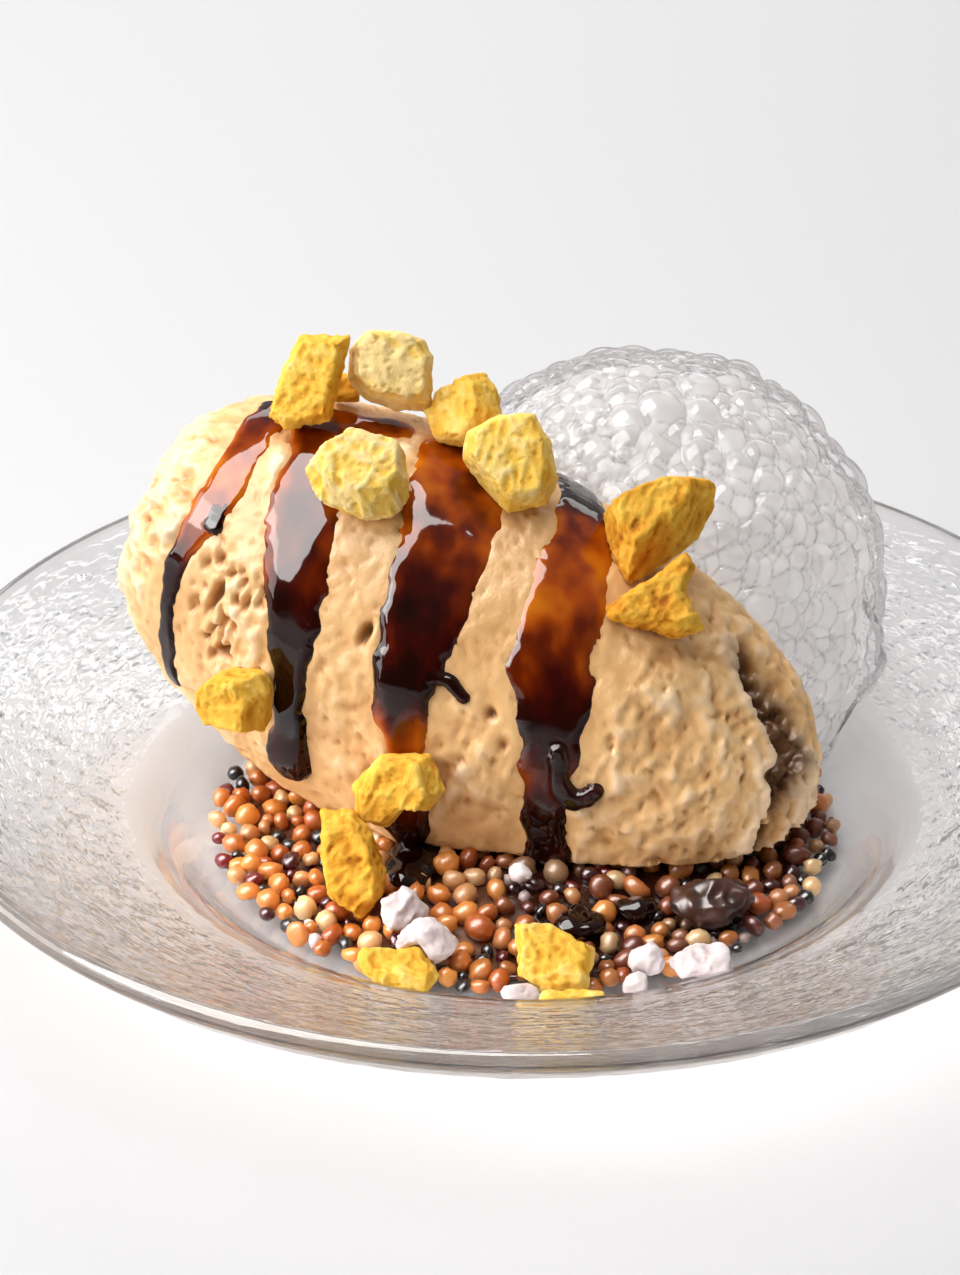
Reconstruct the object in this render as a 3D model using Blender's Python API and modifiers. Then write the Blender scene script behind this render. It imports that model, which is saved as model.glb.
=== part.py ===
"""Coffee mousse quenelle with fruit chunks, puffed grains and foam on a glass plate.

Every size is named in millimetres below and MM turns it into metres. The origin is
the middle of the plate's base, +Z is up, and the front of the dish faces -Y.

Places on the quenelle are given as (along, around): millimetres along its long axis
from the middle, towards the right end, and degrees around it from the back over the
top (90) to the front (180).
"""

import math

import bmesh
import bpy
from mathutils import Matrix, Vector, noise
from mathutils.bvhtree import BVHTree

MM = 0.001
GAP = 0.3 * MM
SEAT_GAP = 1.1 * GAP
SHARPEST_CORNER = 2.0

# Plate, pressed clear glass
PLATE_RADIUS = 85.0 * MM
PLATE_HEIGHT = 23.5 * MM
FLOOR_TOP = 3.0 * MM
FLOOR_RADIUS = 45.5 * MM
LIP_RADIUS = 54.0 * MM
LIP_HEIGHT = 10.2 * MM
FOOT_RADIUS = 45.0 * MM
GLASS = 3.2 * MM
RIM_HOLLOW = 0.25
PLATE_STEPS = 56
# Radii where the section bends, up the inner wall and over the rim
WALL_RADII = (47.4 * MM, 49.8 * MM, 52.2 * MM)
RIM_RADII = (62.0 * MM, 72.0 * MM)

# Quenelle, a mousse shaped with a spoon
MOUSSE_CENTRE = Vector((-7.3, 9.0, 23.0)) * MM
MOUSSE_HALF_LENGTH = 50.3 * MM
MOUSSE_HALF_DEPTH = 25.0 * MM
MOUSSE_HALF_HEIGHT = 31.0 * MM
MOUSSE_TURN = math.radians(-17.0)
MOUSSE_PITCH = math.radians(24.0)
MOUSSE_BASE = 8.5 * MM
END_FULLNESS = 0.325
MOUSSE_SIDES = 42
MOUSSE_RINGS = 30
UNEVENNESS = 0.5 * MM
LEFT_END_REACH = 2.2 * MM
RIGHT_END_SLANT = 0.8 * MM
TORN_DEPTH = 5.0 * MM
# Broad swellings and hollows: height in mm, middle along and around, reach along and around
SWELLINGS = (
    (-0.5, 26.0, 78.0, 18.0, 9.0),
    (-2.2, 30.0, 97.0, 15.0, 15.0),
    (2.6, 3.0, 212.0, 12.0, 20.0),
)

# Syrup drizzle: stations of (along mm, around degrees, width mm), and its thickness
SYRUP_BANDS = {
    "far_left": (1.0, ((-42.2, 88, 2.5), (-41.7, 125, 4.0), (-41.0, 156, 6.0),
                       (-38.2, 190, 4.5), (-34.5, 214, 3.5))),
    "left": (1.3, ((-34.0, 100, 6.5), (-30.5, 124, 8.2), (-28.0, 140, 10.2), (-24.0, 159, 8.6),
                   (-20.2, 180, 6.6), (-16.0, 200, 5.2), (-14.8, 207, 5.0))),
    "middle": (1.3, ((-16.5, 88, 10.0), (-12.8, 112, 11.0), (-10.0, 135, 11.0),
                     (-7.2, 155, 9.9), (-5.2, 168, 7.9), (-1.0, 182, 6.0), (3.0, 198, 6.0))),
    "right": (1.3, ((0.5, 70, 7.5), (4.5, 98, 7.0), (6.5, 115, 9.9), (9.8, 140, 11.0),
                    (14.8, 158, 8.5), (16.8, 169, 6.3), (20.5, 186, 6.0))),
    "middle_spur": (1.2, ((-5.0, 160, 3.0), (-1.5, 157, 3.0), (2.0, 159, 2.4))),
    "right_spur": (1.6, ((17.0, 161, 3.2), (19.5, 168, 3.4), (21.5, 170, 3.4), (23.4, 166, 3.0))),
}
SYRUP_SINK = 1.6 * MM
SYRUP_EDGE_SINK = 0.35
SYRUP_END_TAPER = 0.55
SYRUP_ACROSS = 4
SYRUP_STEP = 4.5 * MM

# Air pockets in the mousse: along, around, half length along, half width around, depth, in mm
AIR_POCKETS = (
    (-34.8, 171, 1.2, 4.2, 2.0),
    (-31.4, 170, 1.0, 2.4, 1.8),
    (-31.0, 187, 1.8, 1.6, 1.6),
    (-13.8, 158, 1.1, 2.0, 2.4),
    (6.4, 160, 1.3, 1.2, 1.8),
    (39.0, 138, 0.9, 2.2, 1.6),
)

# Bed of puffed grains
BED_RADIUS = 42.0 * MM
BED_TOP = 7.9 * MM
BED_EDGE_TOP = 4.4 * MM
BED_FLAT_RADIUS = 20.0 * MM
BED_RADII = (0.0, BED_FLAT_RADIUS, 27.0 * MM, 34.0 * MM, BED_RADIUS)
BED_STEPS = 36
GRAIN_RADIUS = 1.55 * MM
GRAIN_SPREAD = 0.18
GRAIN_SPACING = 5.1 * MM
GRAIN_SHUFFLE = 0.7 * MM
GRAIN_FLATNESS = 0.86
GRAIN_SEED = 5

# Dome of bubble foam behind the quenelle
FOAM_CENTRE = Vector((16.6, 36.0, 22.6)) * MM
FOAM_HALF_SIZES = Vector((37.0, 30.0, 37.2)) * MM
FOAM_UNEVENNESS = 0.03
# Below this distance from the axis the foot's underside closes in
FOAM_FOOT_MIDDLE = 0.3
BUBBLE_COUNT = 410
BUBBLE_DEPTH = 0.8 * MM
HIDDEN_BUBBLE_STEP = 3
FOAM_CLEARANCE = 1.6 * GAP

# Dark chocolate sauce lump on the bed: centre and half sizes
SAUCE_CENTRE = Vector((25.2, -27.2, 7.6)) * MM
SAUCE_HALF_SIZES = Vector((5.6, 4.2, 3.4)) * MM
SAUCE_TURN = 20.0
SAUCE_ROUGHNESS = 0.12

# Freeze-dried fruit chunks. place: centre in mm. face: the way the broad face looks, as
# degrees to the right of the front and degrees up. thickness: in mm. crest: how much
# smaller the broad face is, and how far it is shifted right and up in mm. outline:
# corners in mm, right and up in the plane of the broad face.
CHUNKS = {
    "chunk_tall_slab": dict(
        place=(-30.2, 11.3, 66.4), face=(-12, 24), thickness=5.0, crest=(0.8, 0.6, 0.0),
        outline=((-5.2, -5.5), (-3.6, 1.4), (-1.4, 6.4), (5.4, 6.8), (4.8, 1.4), (3.7, -5.2),
                 (-2.6, -7.2))),
    "chunk_pale_block": dict(
        place=(-18.4, 14.6, 66.6), face=(8, 30), thickness=8.5, crest=(0.78, -0.4, 0.4),
        outline=((-6.2, -1.0), (-5.6, 3.4), (-3.4, 5.6), (1.8, 5.5), (4.9, 4.1), (6.0, 1.2),
                 (4.8, -5.6), (0.4, -5.6), (-4.2, -3.8))),
    "chunk_sliver": dict(
        place=(-25.4, 17.6, 62.6), face=(0, 30), thickness=3.6, crest=(0.85, 0.0, 0.0),
        outline=((-1.8, -2.0), (-1.5, 2.2), (1.6, 2.0), (2.0, -1.8))),
    "chunk_upper_front": dict(
        place=(-22.6, -2.4, 58.7), face=(2, 44), thickness=8.0, crest=(0.74, 0.2, 1.2),
        outline=((-7.2, 0.5), (-5.6, 3.2), (-1.6, 5.6), (3.6, 4.6), (6.5, 3.0), (7.0, -2.6),
                 (4.8, -5.2), (0.2, -5.6), (-5.2, -3.0))),
    "chunk_rear_ridge": dict(
        place=(-8.9, 12.6, 61.4), face=(-24, 34), thickness=6.4, crest=(0.74, -0.6, 0.2),
        outline=((-5.0, -1.4), (-3.2, 2.8), (1.4, 6.0), (3.8, 4.4), (5.4, 0.6), (3.4, -5.0),
                 (-2.6, -5.8))),
    "chunk_ridge_block": dict(
        place=(-2.3, 2.6, 58.4), face=(6, 36), thickness=8.0, crest=(0.78, -0.4, 0.2),
        outline=((-5.8, 4.4), (-1.2, 7.0), (3.6, 6.6), (5.8, 2.6), (6.2, -2.4), (4.8, -5.8),
                 (-1.0, -6.9), (-4.0, -2.6), (-6.2, 0.8))),
    "chunk_ridge_wedge": dict(
        place=(18.0, 0.4, 49.4), face=(10, 40), thickness=9.5, crest=(0.62, -1.6, 2.2),
        outline=((-7.6, 3.2), (-3.0, 5.2), (4.4, 7.0), (8.6, 6.2), (8.4, 3.4), (5.4, -1.4),
                 (-5.2, -7.4), (-7.0, -2.0))),
    "chunk_fallen_chip": dict(
        place=(17.4, -8.6, 43.4), face=(4, 40), thickness=5.0, crest=(0.72, 0.0, 0.0),
        outline=((-6.8, -0.6), (-1.4, 3.0), (4.6, 6.6), (5.8, 5.2), (4.2, 1.2), (5.9, -3.8),
                 (3.2, -5.2), (-1.6, -4.0), (-6.6, -2.6))),
    "chunk_low_cube": dict(
        place=(-39.4, -10.0, 28.4), face=(-22, 12), thickness=8.0, crest=(0.78, -0.8, 0.2),
        outline=((-4.6, 1.2), (-2.2, 3.8), (2.8, 4.2), (4.6, 1.6), (4.4, -3.8), (-2.6, -4.2),
                 (-4.4, -1.8))),
    "chunk_arched": dict(
        place=(-17.2, -19.4, 20.2), face=(-14, 14), thickness=6.5, crest=(0.74, 0.2, 0.4),
        outline=((-6.2, -0.6), (-2.4, 4.4), (4.2, 5.4), (6.4, 0.4), (4.6, -2.6), (1.4, -2.4),
                 (-1.4, -5.6), (-5.6, -5.2))),
    "chunk_standing": dict(
        place=(-23.0, -25.2, 12.2), face=(-10, 22), thickness=6.0, crest=(0.76, 0.4, -0.6),
        outline=((-4.9, 6.6), (-0.6, 7.0), (2.6, 3.8), (4.4, -0.6), (4.6, -3.6), (1.4, -7.2),
                 (-2.8, -5.4), (-4.4, 0.6))),
    "chunk_front_flat": dict(
        place=(-16.0, -41.8, 6.4), face=(0, 62), thickness=3.6, crest=(0.84, 0.0, 0.0),
        outline=((-5.6, 2.2), (-0.6, 2.6), (2.6, 3.0), (5.2, -0.6), (3.8, -3.2), (-2.4, -2.2),
                 (-5.0, -0.4))),
    "chunk_front_plate": dict(
        place=(4.2, -41.6, 8.0), face=(4, 46), thickness=4.2, crest=(0.84, -0.3, 0.3),
        outline=((-4.8, 5.0), (-0.4, 4.6), (2.6, 2.8), (5.2, 1.4), (4.0, -4.8), (-0.4, -5.0),
                 (-5.2, -2.0))),
    "chunk_front_edge": dict(
        place=(6.6, -48.6, 6.4), face=(0, 66), thickness=2.8, crest=(0.84, 0.0, 0.0),
        outline=((-4.6, 0.8), (0.0, 1.8), (4.4, 0.8), (4.0, -1.2), (-4.2, -1.4))),
}

CHUNK_ROUGHNESS = 0.6 * MM

# Meringue crumbs on the bed: centre and half sizes in mm, turn in degrees
CRUMBS = {
    "crumb_tall": ((-16.0, -31.2, 8.7), (3.4, 2.4, 3.2), 25),
    "crumb_bright": ((-12.8, -38.2, 8.0), (4.4, 3.2, 3.4), -10),
    "crumb_front_right": ((16.3, -40.4, 7.3), (2.7, 2.3, 2.7), 0),
    "crumb_right": ((23.4, -40.4, 6.9), (4.2, 2.5, 2.7), 8),
    "crumb_under_edge": ((-0.6, -23.0, 9.4), (2.2, 1.7, 1.5), -30),
    "crumb_front_pair": ((-0.2, -45.4, 5.2), (2.9, 1.6, 1.7), 0),
    "crumb_marked": ((14.6, -43.8, 5.4), (1.9, 1.7, 1.9), 0),
}
CRUMB_ROUGHNESS = 0.22


def clear_scene():
    """Remove every object, so the script starts from an empty scene."""
    for obj in list(bpy.data.objects):
        bpy.data.objects.remove(obj, do_unlink=True)


def new_collection(name):
    """Add a collection to the scene."""
    collection = bpy.data.collections.new(name)
    bpy.context.scene.collection.children.link(collection)
    return collection


def principled(name, colour, roughness, transmission=0.0):
    """Make a plain material of one colour."""
    material = bpy.data.materials.new(name)
    material.use_nodes = True
    shader = material.node_tree.nodes["Principled BSDF"]
    shader.inputs["Base Color"].default_value = (*colour, 1.0)
    shader.inputs["Roughness"].default_value = roughness
    shader.inputs["Metallic"].default_value = 0.0
    shader.inputs["Transmission Weight"].default_value = transmission
    return material


def new_object(name, bm, collection, material=None):
    """Turn a bmesh into an object."""
    mesh = bpy.data.meshes.new(name)
    bmesh.ops.recalc_face_normals(bm, faces=bm.faces[:])
    bm.to_mesh(mesh)
    bm.free()
    if material:
        mesh.materials.append(material)
    obj = bpy.data.objects.new(name, mesh)
    collection.objects.link(obj)
    return obj


def apply_modifiers(obj):
    """Replace the object's mesh by its evaluated one."""
    depsgraph = bpy.context.evaluated_depsgraph_get()
    mesh = bpy.data.meshes.new_from_object(obj.evaluated_get(depsgraph))
    old_mesh = obj.data
    obj.modifiers.clear()
    obj.data = mesh
    bpy.data.meshes.remove(old_mesh)


def boolean(obj, operation, operand, solver="EXACT"):
    """Join or cut an object with another object or a collection, and apply it."""
    modifier = obj.modifiers.new(operation.lower(), "BOOLEAN")
    modifier.operation = operation
    modifier.solver = solver
    if isinstance(operand, bpy.types.Collection):
        modifier.operand_type = "COLLECTION"
        modifier.collection = operand
    else:
        modifier.object = operand
    apply_modifiers(obj)


def empty_collection(collection):
    """Remove a collection's objects once they have been joined or cut."""
    for obj in list(collection.objects):
        bpy.data.objects.remove(obj, do_unlink=True)


def islands(bm):
    """Yield the connected sets of faces of a bmesh."""
    waiting = set(bm.faces)
    while waiting:
        stack = [waiting.pop()]
        found = []
        while stack:
            face = stack.pop()
            found.append(face)
            for edge in face.edges:
                for other in edge.link_faces:
                    if other in waiting:
                        waiting.remove(other)
                        stack.append(other)
        yield found


def keep_main_body(obj):
    """Drop sealed hollows and loose scraps that a union leaves."""
    bm = bmesh.new()
    bm.from_mesh(obj.data)
    bodies = sorted(islands(bm), key=len)
    for faces in bodies[:-1]:
        bmesh.ops.delete(bm, geom=faces, context="FACES")
    bm.to_mesh(obj.data)
    bm.free()


def smoothstep(value):
    """Ease from 0 to 1."""
    value = min(1.0, max(0.0, value))
    return value * value * (3.0 - 2.0 * value)


def jitter(spot):
    """An uneven vector, each part within about one either way, that is the same each run."""
    return Vector((noise.noise(spot), noise.noise(spot + Vector((17.0, 3.0, 5.0))),
                   noise.noise(spot + Vector((7.0, 31.0, 11.0)))))


def smooth_shade(obj, angle_degrees):
    """Shade smooth, with edges sharper than the angle kept."""
    obj.data.shade_smooth()
    obj.data.set_sharp_from_angle(angle=math.radians(angle_degrees))


def face_outwards(obj):
    """Make the faces of a closed mesh point out."""
    bm = bmesh.new()
    bm.from_mesh(obj.data)
    bmesh.ops.recalc_face_normals(bm, faces=bm.faces[:])
    if bm.calc_volume(signed=True) < 0.0:
        bmesh.ops.reverse_faces(bm, faces=bm.faces[:])
    bm.to_mesh(obj.data)
    bm.free()


def turned_solid(name, profile, steps, collection, material=None):
    """Turn a section of (radius, height), run from top to bottom, round the vertical."""
    bm = bmesh.new()
    verts = [bm.verts.new((radius, 0.0, height)) for radius, height in profile]
    for start, end in zip(verts, verts[1:]):
        bm.edges.new((start, end))
    solid = new_object(name, bm, collection, material)
    screw = solid.modifiers.new("turned", "SCREW")
    screw.axis = "Z"
    screw.steps = steps
    screw.render_steps = steps
    screw.use_merge_vertices = True
    screw.merge_threshold = 0.00001
    apply_modifiers(solid)
    face_outwards(solid)
    return solid


# Plate

def plate_top(radius):
    """Height of the plate's upper face at a radius."""
    if radius <= FLOOR_RADIUS:
        return FLOOR_TOP
    if radius <= LIP_RADIUS:
        share = (radius - FLOOR_RADIUS) / (LIP_RADIUS - FLOOR_RADIUS)
        return FLOOR_TOP + (LIP_HEIGHT - FLOOR_TOP) * smoothstep(share)
    share = (radius - LIP_RADIUS) / (PLATE_RADIUS - LIP_RADIUS)
    rise = (1.0 - RIM_HOLLOW) * share + RIM_HOLLOW * share * share
    return LIP_HEIGHT + (PLATE_HEIGHT - LIP_HEIGHT) * rise


def plate_slope(radius):
    """Angle of the upper face from the level at a radius."""
    step = 0.1 * MM
    return math.atan2(plate_top(radius + step) - plate_top(radius - step), 2.0 * step)


def plate_underside(radius):
    """Point of the outer face, one glass thickness from the upper face."""
    angle = plate_slope(radius)
    return (radius + GLASS * math.sin(angle), plate_top(radius) - GLASS * math.cos(angle))


def plate_profile():
    """Section of the plate as (radius, height), from the floor's middle over the rim."""
    points = [(0.0, FLOOR_TOP), (FLOOR_RADIUS, FLOOR_TOP)]
    points += [(radius, plate_top(radius)) for radius in (*WALL_RADII, LIP_RADIUS, *RIM_RADII)]
    edge = GLASS / 2.0
    for degrees in (90.0, 45.0, 0.0, -62.0):
        angle = math.radians(degrees)
        points.append((PLATE_RADIUS - edge + edge * math.cos(angle),
                       PLATE_HEIGHT - edge + edge * math.sin(angle)))
    points += [plate_underside(radius) for radius in (68.0 * MM, LIP_RADIUS, WALL_RADII[1])]
    points += [(FOOT_RADIUS, 0.0), (0.0, 0.0)]
    return points


def make_plate(collection):
    """The plate, turned from its section."""
    glass = principled("clear_glass", (0.86, 0.87, 0.87), 0.05, 1.0)
    plate = turned_solid("plate", plate_profile(), PLATE_STEPS, collection, glass)
    smooth_shade(plate, 50)
    return plate


# Quenelle

def quenelle_axes():
    """Unit vectors along the quenelle, across it towards the back, and over its top."""
    along = Vector((math.cos(MOUSSE_PITCH) * math.cos(MOUSSE_TURN),
                    math.cos(MOUSSE_PITCH) * math.sin(MOUSSE_TURN),
                    -math.sin(MOUSSE_PITCH)))
    across = Vector((-math.sin(MOUSSE_TURN), math.cos(MOUSSE_TURN), 0.0))
    return along, across, along.cross(across)


ALONG, ACROSS, OVER = quenelle_axes()


def torn_lip(around):
    """Where the smooth skin stops at the right end, in mm along, by degrees around."""
    return 31.0 + 16.0 * smoothstep((around - 104.0) / 30.0)


def torn_recess(along, around):
    """How far the torn right end lies below the skin."""
    past_lip = smoothstep((along - torn_lip(around)) / 3.0)
    below_crest = smoothstep((around - 82.0) / 16.0)
    front_fade = 1.0 - 0.6 * smoothstep((around - 125.0) / 30.0)
    inside_rim = 1.0 - smoothstep((along - 44.0) / 5.5)
    return TORN_DEPTH * past_lip * below_crest * front_fade * inside_rim


def swelling(along, around, bump):
    """Height of a bump that fades with distance over the surface."""
    height, middle_along, middle_around, reach_along, reach_around = bump
    return height * MM * math.exp(-((along - middle_along) / reach_along) ** 2
                                  - ((around - middle_around) / reach_around) ** 2)


def mousse_relief(along, around):
    """Height of the mousse above its plain form, by mm along and degrees around."""
    angle = math.radians(around)
    spot = Vector((along / 9.0, 1.6 * math.cos(angle), 1.6 * math.sin(angle)))
    broad = sum(swelling(along, around, bump) for bump in SWELLINGS)
    return UNEVENNESS * noise.noise(spot) + broad - torn_recess(along, around)


def end_shift(along, around, fullness):
    """How far the blunt ends are moved along, outwards at the left and in at the right."""
    left = smoothstep((-along - 36.0) / 12.0)
    right = smoothstep((along - 38.0) / 10.0)
    upper_front = math.cos(math.radians(around - 150.0)) * fullness
    front = -math.cos(math.radians(around)) * fullness
    return (-LEFT_END_REACH * left * (0.6 + 0.6 * upper_front)
            - RIGHT_END_SLANT * right * (0.4 + 0.8 * front))


def on_quenelle(along, around, lift=0.0):
    """Point of the quenelle's surface, by mm along and degrees around, raised by lift."""
    share = min(1.0, abs(along * MM / MOUSSE_HALF_LENGTH))
    fullness = (1.0 - share * share) ** END_FULLNESS
    angle = math.radians(around)
    ring = (ACROSS * (MOUSSE_HALF_DEPTH * math.cos(angle))
            + OVER * (MOUSSE_HALF_HEIGHT * math.sin(angle)))
    outward = ring.normalized() * (mousse_relief(along, around) * fullness + lift)
    reach = along * MM + end_shift(along, around, fullness)
    point = MOUSSE_CENTRE + ALONG * reach + ring * fullness + outward
    point.z = max(point.z, MOUSSE_BASE)
    return point


def quenelle_normal(along, around):
    """Outward direction of the quenelle's surface."""
    along_edge = on_quenelle(along + 0.5, around) - on_quenelle(along - 0.5, around)
    around_edge = on_quenelle(along, around + 1.0) - on_quenelle(along, around - 1.0)
    return around_edge.cross(along_edge).normalized()


def quenelle_body(collection, material):
    """Shape a sphere into the quenelle."""
    bm = bmesh.new()
    bmesh.ops.create_uvsphere(bm, u_segments=MOUSSE_SIDES, v_segments=MOUSSE_RINGS, radius=1.0)
    for vert in bm.verts:
        along = vert.co.z * MOUSSE_HALF_LENGTH / MM
        around = math.degrees(math.atan2(vert.co.y, vert.co.x)) % 360.0
        vert.co = on_quenelle(along, around)
    return new_object("mousse", bm, collection, material)


def smooth_path(stations, step):
    """Points on a smooth curve through the stations, about one step apart."""
    path = []
    last = len(stations) - 1
    for index in range(last):
        before = stations[max(index - 1, 0)]
        start = stations[index]
        end = stations[index + 1]
        after = stations[min(index + 2, last)]
        distance = (on_quenelle(end[0], end[1]) - on_quenelle(start[0], start[1])).length
        count = max(1, round(distance / step))
        for part in range(count):
            share = part / count
            path.append([catmull_rom(values, share)
                         for values in zip(before, start, end, after)])
    path.append(list(stations[last]))
    return path


def catmull_rom(values, share):
    """Smooth interpolation between the middle two of four values."""
    before, start, end, after = values
    return 0.5 * (2.0 * start + (end - before) * share
                  + (2.0 * before - 5.0 * start + 4.0 * end - after) * share ** 2
                  + (3.0 * start - before - 3.0 * end + after) * share ** 3)


def syrup_strip(name, thickness, stations, collection):
    """A crowned strip of syrup that follows the quenelle, sunk a little into it."""
    path = smooth_path(stations, SYRUP_STEP)
    bm = bmesh.new()
    grid = bmesh.ops.create_grid(bm, x_segments=SYRUP_ACROSS, y_segments=len(path) - 1, size=1.0)
    last = len(path) - 1
    for vert in grid["verts"]:
        row = round((vert.co.y + 1.0) / 2.0 * last)
        across = vert.co.x
        along, around, width = path[row]
        before = path[max(row - 1, 0)]
        after = path[min(row + 1, last)]
        here = on_quenelle(along, around)
        travel = on_quenelle(after[0], after[1]) - on_quenelle(before[0], before[1])
        normal = quenelle_normal(along, around)
        side = travel.cross(normal).normalized()
        end_taper = SYRUP_END_TAPER if row in (0, last) else 1.0
        crown = 1.0 - across * across
        point = here + side * (across * width * end_taper * MM / 2.0)
        height = (crown * thickness - SYRUP_EDGE_SINK) * end_taper
        vert.co = point + normal * (height * MM)
    obj = new_object(name, bm, collection)
    solid = obj.modifiers.new("thickness", "SOLIDIFY")
    solid.thickness = SYRUP_SINK
    solid.offset = -1.0
    apply_modifiers(obj)
    face_outwards(obj)
    return obj


def air_pocket(index, pocket, collection):
    """A small ellipsoid that hollows an air pocket out of the surface."""
    along, around, half_along, half_around, depth = pocket
    centre = on_quenelle(along, around)
    normal = quenelle_normal(along, around)
    side = (ALONG - normal * ALONG.dot(normal)).normalized()
    axes = Matrix((side, normal.cross(side), normal)).transposed().to_4x4()
    sizes = Matrix.Diagonal((half_along * MM, half_around * MM, depth * MM, 1.0))
    bm = bmesh.new()
    bmesh.ops.create_icosphere(bm, subdivisions=1, radius=1.0,
                               matrix=Matrix.Translation(centre) @ axes @ sizes)
    return new_object(f"air_pocket_{index}", bm, collection)


def make_mousse(collection, cutters):
    """The quenelle with its air pockets and the syrup drizzle fused on."""
    caramel = principled("coffee_mousse", (0.71, 0.46, 0.24), 0.5)
    mousse = quenelle_body(collection, caramel)
    for index, pocket in enumerate(AIR_POCKETS):
        air_pocket(index, pocket, cutters)
    boolean(mousse, "DIFFERENCE", cutters)
    empty_collection(cutters)
    for name, (thickness, stations) in SYRUP_BANDS.items():
        syrup_strip(f"syrup_{name}", thickness, stations, cutters)
    boolean(mousse, "UNION", cutters)
    empty_collection(cutters)
    keep_main_body(mousse)
    flatten_base(mousse)
    smooth_shade(mousse, 40)
    return mousse


def flatten_base(mousse):
    """Bring what hangs below the mousse's base up to it."""
    for vert in mousse.data.vertices:
        vert.co.z = max(vert.co.z, MOUSSE_BASE)


def grown_copy(obj, amount, collection):
    """A copy of an object with its surface moved outwards, for cutting its neighbours."""
    bm = bmesh.new()
    bm.from_mesh(obj.data)
    bm.normal_update()
    for vert in bm.verts:
        vert.co += vert.normal * (amount * min(vert.calc_shell_factor(), SHARPEST_CORNER))
    mesh = bpy.data.meshes.new(f"{obj.name}_clearance")
    bm.to_mesh(mesh)
    bm.free()
    cutter = bpy.data.objects.new(mesh.name, mesh)
    cutter.matrix_world = obj.matrix_world
    collection.objects.link(cutter)
    return cutter


# Foam

def foam_rest_profile():
    """Section of what the foam stands on: the bed's edge, then the plate."""
    outer = PLATE_RADIUS + 5.0 * MM
    plate_radii = (BED_RADIUS + 1.0 * MM, FLOOR_RADIUS, *WALL_RADII, LIP_RADIUS, *RIM_RADII,
                   outer)
    profile = [(radius, bed_height(radius) + FOAM_CLEARANCE) for radius in BED_RADII]
    profile += [(radius, plate_top(radius) + FOAM_CLEARANCE) for radius in plate_radii]
    return profile + [(outer, -5.0 * MM), (0.0, -5.0 * MM)]


def on_foam(direction):
    """Point of the foam's plain form: a dome on an upright foot."""
    spread = 1.0
    if direction.z < 0.0:
        spread = 1.0 / max(direction.xy.length, FOAM_FOOT_MIDDLE)
    outward = Vector((direction.x * spread, direction.y * spread, direction.z))
    return FOAM_CENTRE + outward * FOAM_HALF_SIZES


def is_hidden(direction):
    """Whether a bubble is under the foam or behind the quenelle, where few are needed."""
    under = direction.z < -0.62
    against_quenelle = direction.y < -0.3 and direction.x < 0.5 and direction.z < 0.3
    return under or against_quenelle


def make_foam(collection, cutters, neighbours):
    """A domed heap of bubbles, cut to rest on the plate, the bed and the quenelle."""
    film = principled("bubble_film", (0.86, 0.86, 0.86), 0.1, 0.9)
    bm = bmesh.new()
    golden_angle = math.pi * (3.0 - math.sqrt(5.0))
    for index in range(BUBBLE_COUNT):
        height = 1.0 - 2.0 * (index + 0.5) / BUBBLE_COUNT
        ring = math.sqrt(1.0 - height * height)
        turn = golden_angle * index
        direction = Vector((ring * math.cos(turn), ring * math.sin(turn), height))
        if is_hidden(direction) and index % HIDDEN_BUBBLE_STEP:
            continue
        bm.verts.new(on_foam(direction))
    bmesh.ops.convex_hull(bm, input=bm.verts[:])
    bmesh.ops.delete(bm, geom=[vert for vert in bm.verts if not vert.link_faces],
                     context="VERTS")
    bmesh.ops.recalc_face_normals(bm, faces=bm.faces[:])
    bmesh.ops.poke(bm, faces=bm.faces[:], offset=-BUBBLE_DEPTH)
    for vert in bm.verts:
        outward = vert.co - FOAM_CENTRE
        spot = outward / (17.0 * MM)
        vert.co = FOAM_CENTRE + outward * (1.0 + FOAM_UNEVENNESS * noise.noise(spot))
    foam = new_object("foam", bm, collection, film)
    turned_solid("foam_rest", foam_rest_profile(), BED_STEPS, cutters)
    boolean(foam, "DIFFERENCE", cutters)
    empty_collection(cutters)
    for neighbour in neighbours:
        boolean(foam, "DIFFERENCE", grown_copy(neighbour, SEAT_GAP, cutters))
    empty_collection(cutters)
    keep_main_body(foam)
    smooth_shade(foam, 60)
    return foam


# Chunks, crumbs and sauce

def facing(right_degrees, up_degrees):
    """Rotation that turns +Z to look right of the front and up, with +Y kept upwards."""
    turn = math.radians(right_degrees)
    rise = math.radians(up_degrees)
    normal = Vector((math.sin(turn) * math.cos(rise), -math.cos(turn) * math.cos(rise),
                     math.sin(rise)))
    right = Vector((0.0, 0.0, 1.0)).cross(normal).normalized()
    return Matrix((right, normal.cross(right), normal)).transposed()


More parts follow.
